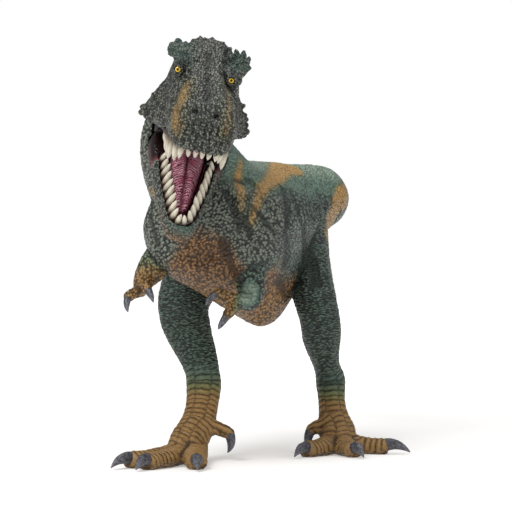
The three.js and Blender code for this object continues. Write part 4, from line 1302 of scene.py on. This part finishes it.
    def scutes(
        self, clay: Clay, owners: np.ndarray, foot: Foot,
    ) -> tuple[np.ndarray, np.ndarray, np.ndarray]:
        """Cross scutes on the front of a shank and its toes.

        Args:
            clay: the skin.
            owners: the CAD node of each point.
            foot: the foot.

        Returns:
            Count of bands along the limb, distance from the groove between columns, and the mask.
        """
        leg = self.belongs(owners, f"{foot.side}_leg")
        found = []
        for (across, back), toe in zip(self.scute_columns, foot.toes):
            shank = [(x + across, y + back, z) for x, y, z in foot.shank]
            found.append(clay.along_line([*shank, *toe]))
        distances = np.array([near for near, _, _ in found])
        runs = np.array([run for _, run, _ in found])
        order = np.sort(distances, axis=0)
        run = np.take_along_axis(runs, distances.argmin(axis=0)[None], axis=0)[0]
        turn, start = self.scute_turn
        front = np.clip(clay.normals @ np.array(self.scute_facing) * turn + start, 0, 1)
        height = ramp(self.scute_top - clay.points[:, 2], self.scute_fade)
        below = ramp(clay.points[:, 2] - self.sole, self.sole_fade)
        return run / self.scute_pitch, (order[1] - order[0]) / 2, leg * front * height * below

    def mark(self, clay: Clay, owners: np.ndarray) -> None:
        """Stores the paint zones on the points, as distances in millimetres that are positive inside."""
        skull = self.belongs(owners, "skull")
        legs = self.belongs(owners, "right_leg", "left_leg")
        arms = self.belongs(owners, "right_arm", "left_arm")
        trunk = 1 - skull - legs - arms
        local = self.head.inside(clay.points, self.head.skull())
        bands, column, scute = np.zeros(clay.count), np.ones(clay.count), np.zeros(clay.count)
        for foot in (self.right_foot, self.left_foot):
            run, groove, mask = self.scutes(clay, owners, foot)
            own = self.belongs(owners, f"{foot.side}_leg") > 0
            bands, column, scute = np.where(own, run, bands), np.where(own, groove, column), scute + mask
        snout = self.relief.paint(clay, self.head.skull())
        stripe = np.select([trunk + legs > 0, skull > 0], [self.stripe_zone(clay), snout], OUTSIDE)
        patches = [self.elbow_zone(clay), self.brow_zone(local)]
        teal = np.select([arms > 0, skull > 0], patches, self.back_zone(clay))
        shadow = np.where(skull > 0, self.relief.shadow(clay, self.head), self.fold_shadow(clay))
        clay.mark_zones({
            "stripe": stripe,
            "belly": np.where(trunk > 0, self.belly_zone(clay), self.off_trunk),
            "ochre": self.ochre_zone(clay, owners),
            "teal": teal,
            "limb": legs,
            "bands": bands,
            "column": column,
            "scute": scute,
            "mouth": np.where(skull > 0, self.mouth_zone(local), OUTSIDE),
            "neck": np.where(trunk > 0, self.neck_zone(clay), self.off_trunk),
            # hollow: painted shade in recesses, folds and round the eyes, and below 0 a painted highlight on
            # the head's ridges.
            "hollow": self.hollows(clay) + shadow,
        }, ZONE_BLURS)

    def lateral(self, clay: Clay) -> tuple[np.ndarray, np.ndarray]:
        """The middle line's x at each point, and each point's distance from it."""
        middle = np.interp(clay.points[:, 1], self.back_y, self.back_x)
        return middle, np.abs(clay.points[:, 0] - middle)

    def stripe_zone(self, clay: Clay) -> np.ndarray:
        """The stripes of flank, hips and tail, mirrored across the back."""
        middle, lateral = self.lateral(clay)
        mirrored = np.column_stack([middle + lateral, clay.points[:, 1:]])
        inside = np.full(clay.count, OUTSIDE)
        for stroke in self.stripes:
            distance, _, width = clay.along_line(stroke.points, mirrored)
            inside = np.maximum(inside, width[:, 0] - distance)
        return inside

    def belly_zone(self, clay: Clay) -> np.ndarray:
        """Below the belly line, which bends down at the sides of the chest."""
        _, y, z = clay.points.T
        bend = self.chest_bend * ramp(self.chest_front - y, self.chest_run)
        return np.interp(y, self.belly_y, self.belly_z) - bend * self.lateral(clay)[1] ** 2 - z

    def ochre_zone(self, clay: Clay, owners: np.ndarray) -> np.ndarray:
        """The feet below their ochre height, and the hands."""
        x, _, z = clay.points.T
        ochre = np.full(clay.count, FAR_OUTSIDE)
        for foot in (self.right_foot, self.left_foot):
            ochre = np.where(self.belongs(owners, f"{foot.side}_leg") > 0, foot.ochre_height - z, ochre)
        ochre = np.where(self.belongs(owners, "right_arm") > 0, self.right_hand_top - z, ochre)
        hand = (self.left_hand_side - x) * self.left_hand_slope
        return np.where(self.belongs(owners, "left_arm") > 0, hand, ochre)

    def back_zone(self, clay: Clay) -> np.ndarray:
        """The smooth teal back, wider over the rump."""
        corner = (clay.points - np.array(self.back_corner)) * self.back_slopes
        return corner.min(axis=1) + self.rump_gain * np.clip(clay.points[:, 1], 0, self.rump_length)

    def elbow_zone(self, clay: Clay) -> np.ndarray:
        """The pale patch at the elbow."""
        away = np.linalg.norm(clay.points - np.array(self.elbow), axis=1)
        return (self.elbow_radius - away) * self.elbow_slope

    def brow_zone(self, local: np.ndarray) -> np.ndarray:
        """The teal brows on both sides of the crown."""
        ahead = np.column_stack([np.abs(local[:, 0]), -local[:, 1], local[:, 2]])
        corner = (ahead - np.array(self.brow_corner)) * self.brow_slopes
        return np.minimum(corner.min(axis=1), self.brow_limit)

    def neck_zone(self, clay: Clay) -> np.ndarray:
        """The grey-brown front and right side of the neck."""
        x, y, z = ((clay.points - np.array(self.neck_corner)) * self.neck_slopes).T
        return np.maximum(-x, -y) + z

    def mouth_zone(self, local: np.ndarray) -> np.ndarray:
        """The palate inside the upper row of teeth."""
        row = np.interp(-local[:, 1], self.row_y, self.row_x)
        inside = np.minimum(row - self.lip - np.abs(local[:, 0]), self.palate - local[:, 2])
        return np.minimum(inside, self.mouth_back - local[:, 1])

    def fold_shadow(self, clay: Clay) -> np.ndarray:
        """Painted shade in the groin and the folds."""
        away = ((clay.points - np.array(self.groin)) / np.array(self.groin_reach)) ** 2
        shade = self.groin_shade * np.exp(-away.sum(axis=1))
        for crease in self.creases:
            radius = crease.radius * self.fold_width_share
            shade = shade + clay.wash_and_shade(crease.points, radius, crease.depth * self.fold_shade_share)
        return shade

    @staticmethod
    def hollows(clay: Clay, fine: int = 2, broad: int = 24) -> np.ndarray:
        """How far each point lies below the skin round it, in millimetres."""
        points = clay.points.T
        near = np.column_stack([clay.blurred(axis, fine) for axis in points])
        wide = np.column_stack([clay.blurred(axis, broad) for axis in points])
        return ((wide - near) * clay.normals).sum(axis=1)

    def part(self, skin: bpy.types.Object, owners: np.ndarray) -> dict[str, bpy.types.Object]:
        """Parts the fused skin where its owners change, and closes each piece.

        Args:
            skin: the fused skin.
            owners: the CAD node of each point.

        Returns:
            The closed pieces by node.
        """
        for node in self.nodes:
            skin.data.materials.append(bpy.data.materials.new(f"part_{node}"))
        corners = np.array([list(face.vertices)[:3] for face in skin.data.polygons])
        owner = np.median(owners[corners], axis=1).astype(np.int32)
        skin.data.polygons.foreach_set("material_index", owner)
        before = set(bpy.data.objects)
        Bench.pick(skin)
        bpy.ops.object.mode_set(mode="EDIT")
        bpy.ops.mesh.select_all(action="SELECT")
        bpy.ops.mesh.separate(type="MATERIAL")
        bpy.ops.object.mode_set(mode="OBJECT")
        pieces = {}
        for item in [skin, *sorted(set(bpy.data.objects) - before, key=lambda item: item.name)]:
            slots = item.data.materials
            place = 0 if len(slots) == 1 else item.data.polygons[0].material_index
            node = slots[place].name.removeprefix("part_")
            item.name = f"{node}_hide"
            self.close(item)
            pieces[node] = item
        return pieces

    @staticmethod
    def close(item: bpy.types.Object) -> None:
        """Caps the openings where a piece meets its neighbours."""
        Bench.pick(item)
        bpy.ops.object.mode_set(mode="EDIT")
        bpy.ops.mesh.select_mode(type="EDGE")
        bpy.ops.mesh.select_all(action="DESELECT")
        bpy.ops.mesh.select_non_manifold()
        bpy.ops.mesh.mark_sharp()
        bpy.ops.mesh.fill_holes(sides=0)
        bpy.ops.object.mode_set(mode="OBJECT")


@dataclass
class Jaw:
    """The hide of the lower jaw."""

    head: HeadFrame
    voxel: float = 0.36
    pebble_pitch: float = 1.2
    pebble_height: float = 0.25
    smoothing: int = 4
    row_y: tuple[float, ...] = (0, 14.1, 28.2, 38.5, 43, 43.9)
    row_x: tuple[float, ...] = (8.6, 7.83, 5.8, 3.38, 1.89, 0)
    lip: float = 0.3
    bed: float = 8.4
    ramus_front: float = -17.0
    ramus_slope: float = 1.5
    ramus_top: float = 6.5
    rim_y: tuple[float, ...] = (0, 30, 42, 47)
    rim_z: tuple[float, ...] = (-9.5, -8.2, -5.2, -4.6)
    rim_bend: float = 0.12
    chin: Triple = (0.6, -46.0, -2.0)
    chin_shares: Triple = (0.6, 0.5, 1.0)
    chin_radius: float = 3.0

    def build(self) -> bpy.types.Object:
        """Makes the jaw's hide in place of its node."""
        item = Bench.copy_node("lower_jaw", "lower_jaw_hide")
        Bench.modify(item, "SUBSURF", levels=1, render_levels=1)
        Bench.remesh(item, self.voxel)
        Bench.smooth(item, self.smoothing)
        Bench.pebble(item, self.pebble_pitch, self.pebble_height)
        clay = Clay(item)
        local = self.head.inside(clay.points, self.head.jaw())
        x, y, z = local.T
        row = np.interp(-y, self.row_y, self.row_x)
        mouth = np.minimum(row - self.lip - np.abs(x), z + self.bed)
        # Painted shade: by the hinge, the jaw's outer side takes the mouth's colours for the mouth's corner
        # in shadow.
        ramus = np.minimum((y - self.ramus_front) * self.ramus_slope, z + self.ramus_top)
        rim = np.interp(-y, self.rim_y, self.rim_z)
        away = (local - np.array(self.chin)) * self.chin_shares
        clay.mark_zones({
            "stripe": np.full(clay.count, OUTSIDE),
            "belly": rim - z - np.abs(x) * self.rim_bend,
            "ochre": np.full(clay.count, FAR_OUTSIDE),
            "teal": self.chin_radius - np.linalg.norm(away, axis=1),
            "column": np.ones(clay.count),
            "mouth": np.maximum(mouth, ramus),
            # hollow: painted shade in the jaw's recesses.
            "hollow": Hide.hollows(clay),
        }, {})
        return item


# Teeth, tongue, eyes and claws

@dataclass
class ToothRow:
    """A gum strip and its hooked teeth, on one side's line that is mirrored."""

    name: str
    node: str
    matrix: Matrix
    line: tuple[tuple[float, float], ...]
    height: float
    drop: float
    length: float
    shares: tuple[float, ...]
    right_shares: tuple[float, ...]
    body: Body
    lean: float
    outset: float
    width: float
    spread: float = 1.15
    gum: float = 1.2
    stagger: float = 0.12
    least_width_share: float = 0.7
    root_share: float = 0.6
    tip_past: float = 1.4
    back_share: float = 0.1
    hook_share: float = 0.14
    bulge: float = 0.25
    fullness: float = 4.0
    spine_points: int = 60
    gum_step: int = 4
    gum_sides: int = 10

    def spine(self) -> np.ndarray:
        """Points along the gum from the front centre to the back."""
        points = np.array(self.line, float)
        steps = np.r_[0, np.cumsum(np.linalg.norm(np.diff(points, axis=0), axis=1))]
        run = np.linspace(0, steps[-1], self.spine_points)
        return np.column_stack([np.interp(run, steps, axis) for axis in points.T])

    def build(self) -> list[bpy.types.Object]:
        """Makes the gum and the teeth.

        Returns:
            The gum strip and the row of teeth.
        """
        spine = self.spine()
        right = [(-x, y) for x, y in spine[::-self.gum_step][:-1]]
        left = [(x, y) for x, y in spine[::self.gum_step]]
        rows = [(x, y, self.height, self.gum) for x, y in right + left]
        gum = tube(f"{self.name}_gum", rows, self.gum_sides)
        teeth = []
        count = len(self.shares)
        for index in range(count):
            x, y = spine[int(((index + 0.5) / count) ** self.spread * (len(spine) - 1))]
            for side, shares in ((-1, self.right_shares), (1, self.shares)):
                teeth.append(self.tooth(side, x, y, shares[index], index))
        row = Bench.join(teeth, f"{self.name}_teeth")
        for item in (gum, row):
            item.data.transform(Matrix.Scale(MM, 4) @ self.matrix @ Matrix.Scale(1 / MM, 4))
        return [gum, row]

    def tooth(self, side: int, x: float, y: float, share: float, index: int) -> bpy.types.Object:
        """One tooth of the row."""
        long = self.length * share
        wide = self.width * (self.least_width_share + (1 - self.least_width_share) * share)
        apart = self.stagger * (-1) ** index
        root = np.array([side * (x - apart + self.outset), y, self.height - self.drop * self.root_share])
        across = side * (self.lean * share + apart * 2)
        tip = root + [across, long * self.back_share, self.drop * (long + self.tip_past)]
        middle = (root + tip) / 2 + [side * self.bulge, -long * self.hook_share, 0]
        return horn(f"{self.name}_tooth_{index}", root, middle, tip, wide / 2, self.fullness)


def tube(name: str, rows: Iterable[Row], sides: int) -> bpy.types.Object:
    """A round bar along points.

    Args:
        name: name of the piece.
        rows: x, y, z and radius in millimetres.
        sides: faces around it, a multiple of four less four.

    Returns:
        A closed mesh.
    """
    Bench.clear()
    bpy.ops.curve.primitive_nurbs_path_add(location=(0, 0, 0))
    item = Bench.taken(name)
    curve = item.data
    curve.splines.clear()
    rows = list(rows)
    spline = curve.splines.new("POLY")
    spline.points.add(len(rows) - 1)
    for point, (x, y, z, radius) in zip(spline.points, rows):
        point.co = (x * MM, y * MM, z * MM, 1.0)
        point.radius = radius
    curve.bevel_depth = MM
    curve.bevel_resolution = max(0, sides // 4)
    curve.use_fill_caps = True
    curve.dimensions = "3D"
    Bench.pick(item)
    bpy.ops.object.convert(target="MESH")
    return Bench.taken(name)


def horn(
    name: str, root: np.ndarray, middle: np.ndarray, tip: np.ndarray, radius: float, power: float,
    rings: int = 10, sides: int = 8, tip_share: float = 0.08, roundness: float = 0.75,
) -> bpy.types.Object:
    """A hooked cone with its rise marked.

    Args:
        name: name of the piece.
        root: its root in millimetres.
        middle: the control point that it bends towards.
        tip: its tip.
        radius: radius at the root.
        power: how long it stays thick, from 1 for a plain cone.
        rings: how many rings it has.
        sides: faces around it.
        tip_share: share of the radius that the tip keeps.
        roundness: how bluntly it ends, less for blunter.

    Returns:
        A closed mesh.
    """
    rows = []
    for f in np.linspace(0, 1, rings):
        x, y, z = bend_point(root, middle, tip, f)
        rows.append((x, y, z, radius * max(tip_share, (1 - f ** power) ** roundness)))
    item = tube(name, rows, sides)
    clay = Clay(item)
    _, run, _ = clay.along_line([row[:3] for row in rows])
    clay.mark("rise", run / run.max())
    return item


def bend_point(root: np.ndarray, middle: np.ndarray, tip: np.ndarray, share: float) -> np.ndarray:
    """A point on the bend from a root to a tip, drawn towards a middle."""
    return (1 - share) ** 2 * root + 2 * share * (1 - share) * middle + share ** 2 * tip


@dataclass
class Tongue:
    """The tongue, with a groove down its middle."""

    head: HeadFrame
    voxel: float = 0.35
    smoothing: int = 4
    groove_end: float = -35.5
    groove_fade: float = 4.0
    groove_depth: float = 1.7
    groove_width: float = 0.85
    ridge_sweep: float = 0.35
    ridge_pitch: float = 0.95
    ridge_height: float = 0.3

    def build(self) -> bpy.types.Object:
        """Makes the tongue in place of its node."""
        item = Bench.copy_node("tongue", "tongue_flesh")
        Bench.modify(item, "SUBSURF", levels=2, render_levels=2)
        Bench.remesh(item, self.voxel)
        Bench.smooth(item, self.smoothing)
        clay = Clay(item)
        across, along, _ = self.head.inside(clay.points, self.head.jaw()).T
        up = np.array(self.head.jaw())[:3, 2]
        facing = np.clip(clay.normals @ up, 0, 1)
        groove = self.groove_depth * ramp(along - self.groove_end, self.groove_fade)
        clay.points -= up * (facing * groove * bell(across, self.groove_width))[:, None]
        wave = np.abs(((along + self.ridge_sweep * np.abs(across)) / self.ridge_pitch) % 1.0 - 0.5)
        clay.points += clay.normals * ((0.25 - wave) * self.ridge_height * facing)[:, None]
        clay.mark("along", along)
        clay.mark("across", across)
        clay.write()
        return item


@dataclass
class Eyes:
    """The two eyeballs in their orbits."""

    head: HeadFrame
    segments: int = 40
    rings: int = 24
    pupil_depth: float = 0.12
    pupil_reach: float = 0.5
    behind: float = 9.0

    def build(self) -> list[bpy.types.Object]:
        """Makes both eyeballs."""
        return [self.eye(orbit) for orbit in ORBITS]

    def eye(self, orbit: Orbit) -> bpy.types.Object:
        """One eyeball, with a flatter iris where it looks."""
        place, gaze = orbit.in_row(self.head)
        Bench.clear()
        bpy.ops.mesh.primitive_uv_sphere_add(
            segments=self.segments, ring_count=self.rings, radius=orbit.radius * MM)
        item = Bench.taken(orbit.name)
        Bench.modify(item, "SUBSURF", levels=1, render_levels=1)
        clay = Clay(item)
        spread = np.hypot(clay.points[:, 0], clay.points[:, 1])
        ahead = clay.points[:, 2] > 0
        clay.points[:, 2] -= np.where(ahead, self.pupil_depth * bell(spread, self.pupil_reach), 0)
        clay.mark("gaze", np.where(ahead, spread, self.behind))
        clay.write()
        turn = Matrix.Translation(place) @ gaze.to_track_quat("Z", "Y").to_matrix().to_4x4()
        item.data.transform(Matrix.Scale(MM, 4) @ turn @ Matrix.Scale(1 / MM, 4))
        return item


@dataclass(frozen=True)
class Claw:
    """One claw: its knuckle, its tip, which way its middle stands out, and its width."""

    name: str
    slot: Slot
    root: Triple
    tip: Triple
    bend: Triple
    width: float
    fullness: float = 1.7

    def middle(self) -> np.ndarray:
        """The control point of its bend."""
        return (np.array(self.root) + np.array(self.tip)) / 2 + np.array(self.bend)

    def line(self, points: int = 6) -> list[Triple]:
        """Points along its bend from the root to the tip."""
        root, middle, tip = np.array(self.root), self.middle(), np.array(self.tip)
        return [tuple(bend_point(root, middle, tip, share)) for share in np.linspace(0, 1, points)]

    def build(self) -> bpy.types.Object:
        """Makes the claw."""
        ends = np.array(self.root), self.middle(), np.array(self.tip)
        return horn(self.name, *ends, self.width / 2, self.fullness)


TOE_LIFT = (0.0, 0.0, 3.5)
TOE_WIDTH, SPUR_WIDTH, FINGER_WIDTH = 4.8, 3.6, 2.7
CLAWS = (
    Claw("right_outer_toe_claw", Slot.LEG, (-43.8, -77.2, 2.6), (-50.9, -85.1, 0.8), TOE_LIFT, TOE_WIDTH),
    Claw("right_middle_toe_claw", Slot.LEG, (-38.6, -82.5, 2.6), (-42.4, -92.4, 0.8), TOE_LIFT, TOE_WIDTH),
    Claw("right_inner_toe_claw", Slot.LEG, (-23.1, -81.9, 2.6), (-22.5, -92.5, 0.8), TOE_LIFT, TOE_WIDTH),
    Claw("left_inner_toe_claw", Slot.LEG, (15.1, -35.1, 2.6), (9.7, -44.3, 0.8), TOE_LIFT, TOE_WIDTH),
    Claw("left_middle_toe_claw", Slot.LEG, (30.1, -36.0, 2.6), (33.5, -46.1, 0.8), TOE_LIFT, TOE_WIDTH),
    Claw("left_outer_toe_claw", Slot.LEG, (40.3, -24.0, 2.6), (50.9, -24.8, 0.8), TOE_LIFT, TOE_WIDTH),
    Claw("right_spur_claw", Slot.LEG,
         (-12.74, -53.12, 9.91), (-13.23, -54.58, 3.08), (1.94, -0.49, -0.65), SPUR_WIDTH),
    Claw("left_spur_claw", Slot.LEG,
         (16.1, -18.69, 8.33), (15.49, -20.52, 1.6), (-1.81, -0.66, -0.83), SPUR_WIDTH),
    Claw("right_outer_finger_claw", Slot.ARM,
         (-45.14, -87.42, 56.85), (-45.01, -90.17, 51.74), (-0.86, -1.37, -0.47), FINGER_WIDTH),
    Claw("right_inner_finger_claw", Slot.ARM,
         (-39.09, -88.44, 59.62), (-36.78, -90.76, 54.83), (0.5, -1.6, 0.15), FINGER_WIDTH),
    Claw("left_inner_finger_claw", Slot.ARM,
         (-15.68, -90.65, 58.0), (-19.7, -91.77, 53.98), (-1.4, -0.7, 0.61), FINGER_WIDTH),
    Claw("left_outer_finger_claw", Slot.ARM,
         (-12.71, -92.77, 51.01), (-15.76, -94.16, 46.29), (-0.73, -1.17, -0.95), FINGER_WIDTH),
)


# Studio

@dataclass(frozen=True)
class Lamp:
    """A soft square lamp: where it stands, where it points, its side and its power in watts."""

    name: str
    place: Triple
    aim: Triple
    size: float
    power: float

    def build(self) -> None:
        """Adds the lamp."""
        Bench.clear()
        bpy.ops.object.light_add(type="AREA", location=Vector(self.place) * MM)
        lamp = Bench.taken(self.name)
        lamp.data.size = self.size * MM
        lamp.data.energy = self.power
        lamp.rotation_mode = "QUATERNION"
        lamp.rotation_quaternion = (Vector(self.aim) - Vector(self.place)).to_track_quat("-Z", "Y")


@dataclass
class Studio:
    """Pale floor, white surroundings, soft lamps and the photograph's camera, in millimetres."""

    camera: Triple = (-3.52, -836.61, 70.0)
    focal_pixels: float = 2300.0
    image_pixels: float = 512.0
    sensor: float = 36.0
    clip: Span = (10.0, 20000.0)
    floor_size: float = 6000.0
    floor_roughness: float = 0.95
    floor_lit: Triple = (0.9, 0.9, 0.9)
    floor_seen: Triple = (0.74, 0.74, 0.74)
    shadow_glow: Triple = (0.38, 0.365, 0.35)
    shadow_reach: float = 170.0
    world_light: float = 0.3
    lamps: tuple[Lamp, ...] = (
        Lamp("key_lamp", (-300, -600, 620), (-10, -50, 60), 420, 5.5),
        Lamp("fill_lamp", (520, -420, 260), (0, -40, 60), 500, 0.9),
        Lamp("top_lamp", (60, 120, 760), (0, -20, 60), 520, 2.0),
    )

    def build(self) -> None:
        """Makes the whole studio."""
        self.make_floor()
        self.make_world()
        for lamp in self.lamps:
            lamp.build()
        self.make_camera()
        bpy.context.scene.view_settings.view_transform = "Standard"

    def make_floor(self) -> None:
        """A floor that is white to the camera and keeps the figure's shadow."""
        Bench.clear()
        bpy.ops.mesh.primitive_plane_add(size=self.floor_size * MM, location=(0, 0, 0))
        floor = Bench.taken("floor")
        s = Shader("pale_floor")
        x, y, _ = s.axes()
        away = (x * x + y * y).step(self.shadow_reach ** 2, (self.shadow_reach * 2) ** 2)
        path = s.node("ShaderNodeLightPath", {}, {}, "Is Camera Ray")
        seen = path.higher(s.node("ShaderNodeLightPath", {}, {}, "Is Glossy Ray"))
        glow = s.mix(away, self.shadow_glow, (1.0, 1.0, 1.0))
        floor.data.materials.append(s.finish(
            Base_Color=s.mix(seen, self.floor_lit, self.floor_seen), Specular_IOR_Level=0.0,
            Roughness=self.floor_roughness,
            Emission_Color=s.mix(seen, (0.0, 0.0, 0.0), glow), Emission_Strength=1.0))

    def make_world(self) -> None:
        """White to the camera and a plain soft light to the figure."""
        world = bpy.data.worlds.new("surroundings")
        bpy.context.scene.world = world
        world.use_nodes = True
        tree = world.node_tree
        tree.nodes.clear()
        path = tree.nodes.new("ShaderNodeLightPath")
        seen = tree.nodes.new("ShaderNodeBackground")
        seen.inputs["Color"].default_value = (1, 1, 1, 1)
        light = tree.nodes.new("ShaderNodeBackground")
        light.inputs["Color"].default_value = (1, 1, 1, 1)
        light.inputs["Strength"].default_value = self.world_light
        either = tree.nodes.new("ShaderNodeMixShader")
        out = tree.nodes.new("ShaderNodeOutputWorld")
        tree.links.new(path.outputs["Is Camera Ray"], either.inputs[0])
        tree.links.new(light.outputs[0], either.inputs[1])
        tree.links.new(seen.outputs[0], either.inputs[2])
        tree.links.new(either.outputs[0], out.inputs["Surface"])

    def make_camera(self) -> None:
        """The photograph's camera, level and looking along +Y."""
        Bench.clear()
        bpy.ops.object.camera_add(location=Vector(self.camera) * MM, rotation=(math.radians(90), 0, 0))
        camera = Bench.taken("camera")
        camera.data.sensor_width = self.sensor
        camera.data.lens = self.focal_pixels / self.image_pixels * self.sensor
        camera.data.clip_start, camera.data.clip_end = (end * MM for end in self.clip)
        bpy.context.scene.camera = camera


# Whole figure

def tooth_rows(head: HeadFrame) -> list[ToothRow]:
    """The upper and lower rows, on the lines that the gums follow."""
    upper = ToothRow(
        name="upper", node="upper_teeth", matrix=head.skull(), body=Body.FIGURE,
        line=((0, -46.5), (4.86, -44.5), (8.1, -39.0), (9.18, -31.0), (9.54, -22.5)),
        height=0.39, drop=-1.0, length=6.2, lean=0.1, outset=0.0, width=2.2,
        shares=(0.5, 0.5, 0.55, 0.65, 1, 1, 0.8, 0.6, 0.5),
        right_shares=(0.5, 0.55, 0.75, 0.95, 1, 0.95, 0.75, 0.55, 0.45))
    lower = ToothRow(
        name="lower", node="lower_teeth", matrix=head.jaw(), body=Body.JAW,
        line=((0, -43.7), (1.89, -43.0), (3.38, -38.5), (5.8, -28.2), (7.83, -14.1)),
        height=-2.24, drop=1.0, length=4.8, lean=-1.4, outset=0.7, width=2.0,
        shares=(0.6, 0.75, 0.85, 1, 0.95, 1, 0.95, 0.9, 0.75, 0.6),
        right_shares=(0.6, 0.75, 0.9, 0.95, 1, 0.95, 1, 0.9, 0.75, 0.6))
    return [upper, lower]


def report(*pieces: bpy.types.Object) -> None:
    """Logs finished pieces."""
    for item in pieces:
        log.info("%s: %d faces", item.name, len(item.data.polygons))


def main() -> None:
    """Builds every piece and the studio."""
    logging.basicConfig(level=logging.INFO, format="%(name)s: %(message)s")
    head = HeadFrame()
    body_paint = HidePaint("body_paint").build()
    head_paint = HidePaint(
        "head_paint", deep="2a2e28", green="454940", teal="37544a", brush="9e9c8e", pebble=0.76,
        stripe_cover=0.5, stripe_edge=2.2).build()
    slots = {"torso": Slot.BODY, "tail": Slot.BODY, "right_leg": Slot.LEG, "left_leg": Slot.LEG,
             "right_arm": Slot.ARM, "left_arm": Slot.ARM, "skull": Slot.HEAD}
    for node, item in Hide(head).build().items():
        Bench.dress(item, head_paint if node == "skull" else body_paint, Body.FIGURE, slots[node])
        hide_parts(node)
        report(item)
    jaw = Bench.dress(Jaw(head).build(), head_paint, Body.JAW, Slot.HEAD)
    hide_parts("lower_jaw")
    report(jaw)
    bone = BonePaint().build()
    # The gums take the tongue's finish, with its painted highlights on their ridges.
    gum_paint = TongueFlesh("gum_flesh", flesh="4a2228", deep="221013", light="6e474a", pitch=3.0).build()
    for row in tooth_rows(head):
        gum, teeth = row.build()
        Bench.dress(gum, gum_paint, row.body, Slot.TOOTH)
        Bench.dress(teeth, bone, row.body, Slot.TOOTH)
        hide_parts(row.node)
        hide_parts(row.node)
        report(gum, teeth)
    tongue = Bench.dress(Tongue(head).build(), TongueFlesh().build(), Body.JAW, Slot.TONGUE)
    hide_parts("tongue")
    report(tongue)
    eye_paint = EyePaint().build()
    for eye in Eyes(head).build():
        report(Bench.dress(eye, eye_paint, Body.FIGURE, Slot.HEAD))
    slate = SlateClaw().build()
    for claw in CLAWS:
        report(Bench.dress(claw.build(), slate, Body.FIGURE, claw.slot))
    pin = frame["nodes"]["jaw_pin"]
    pin.data.materials.clear()
    pin.data.materials.append(PinSteel().build())
    report(pin)
    Studio().build()


if __name__ == "__main__":
    main()
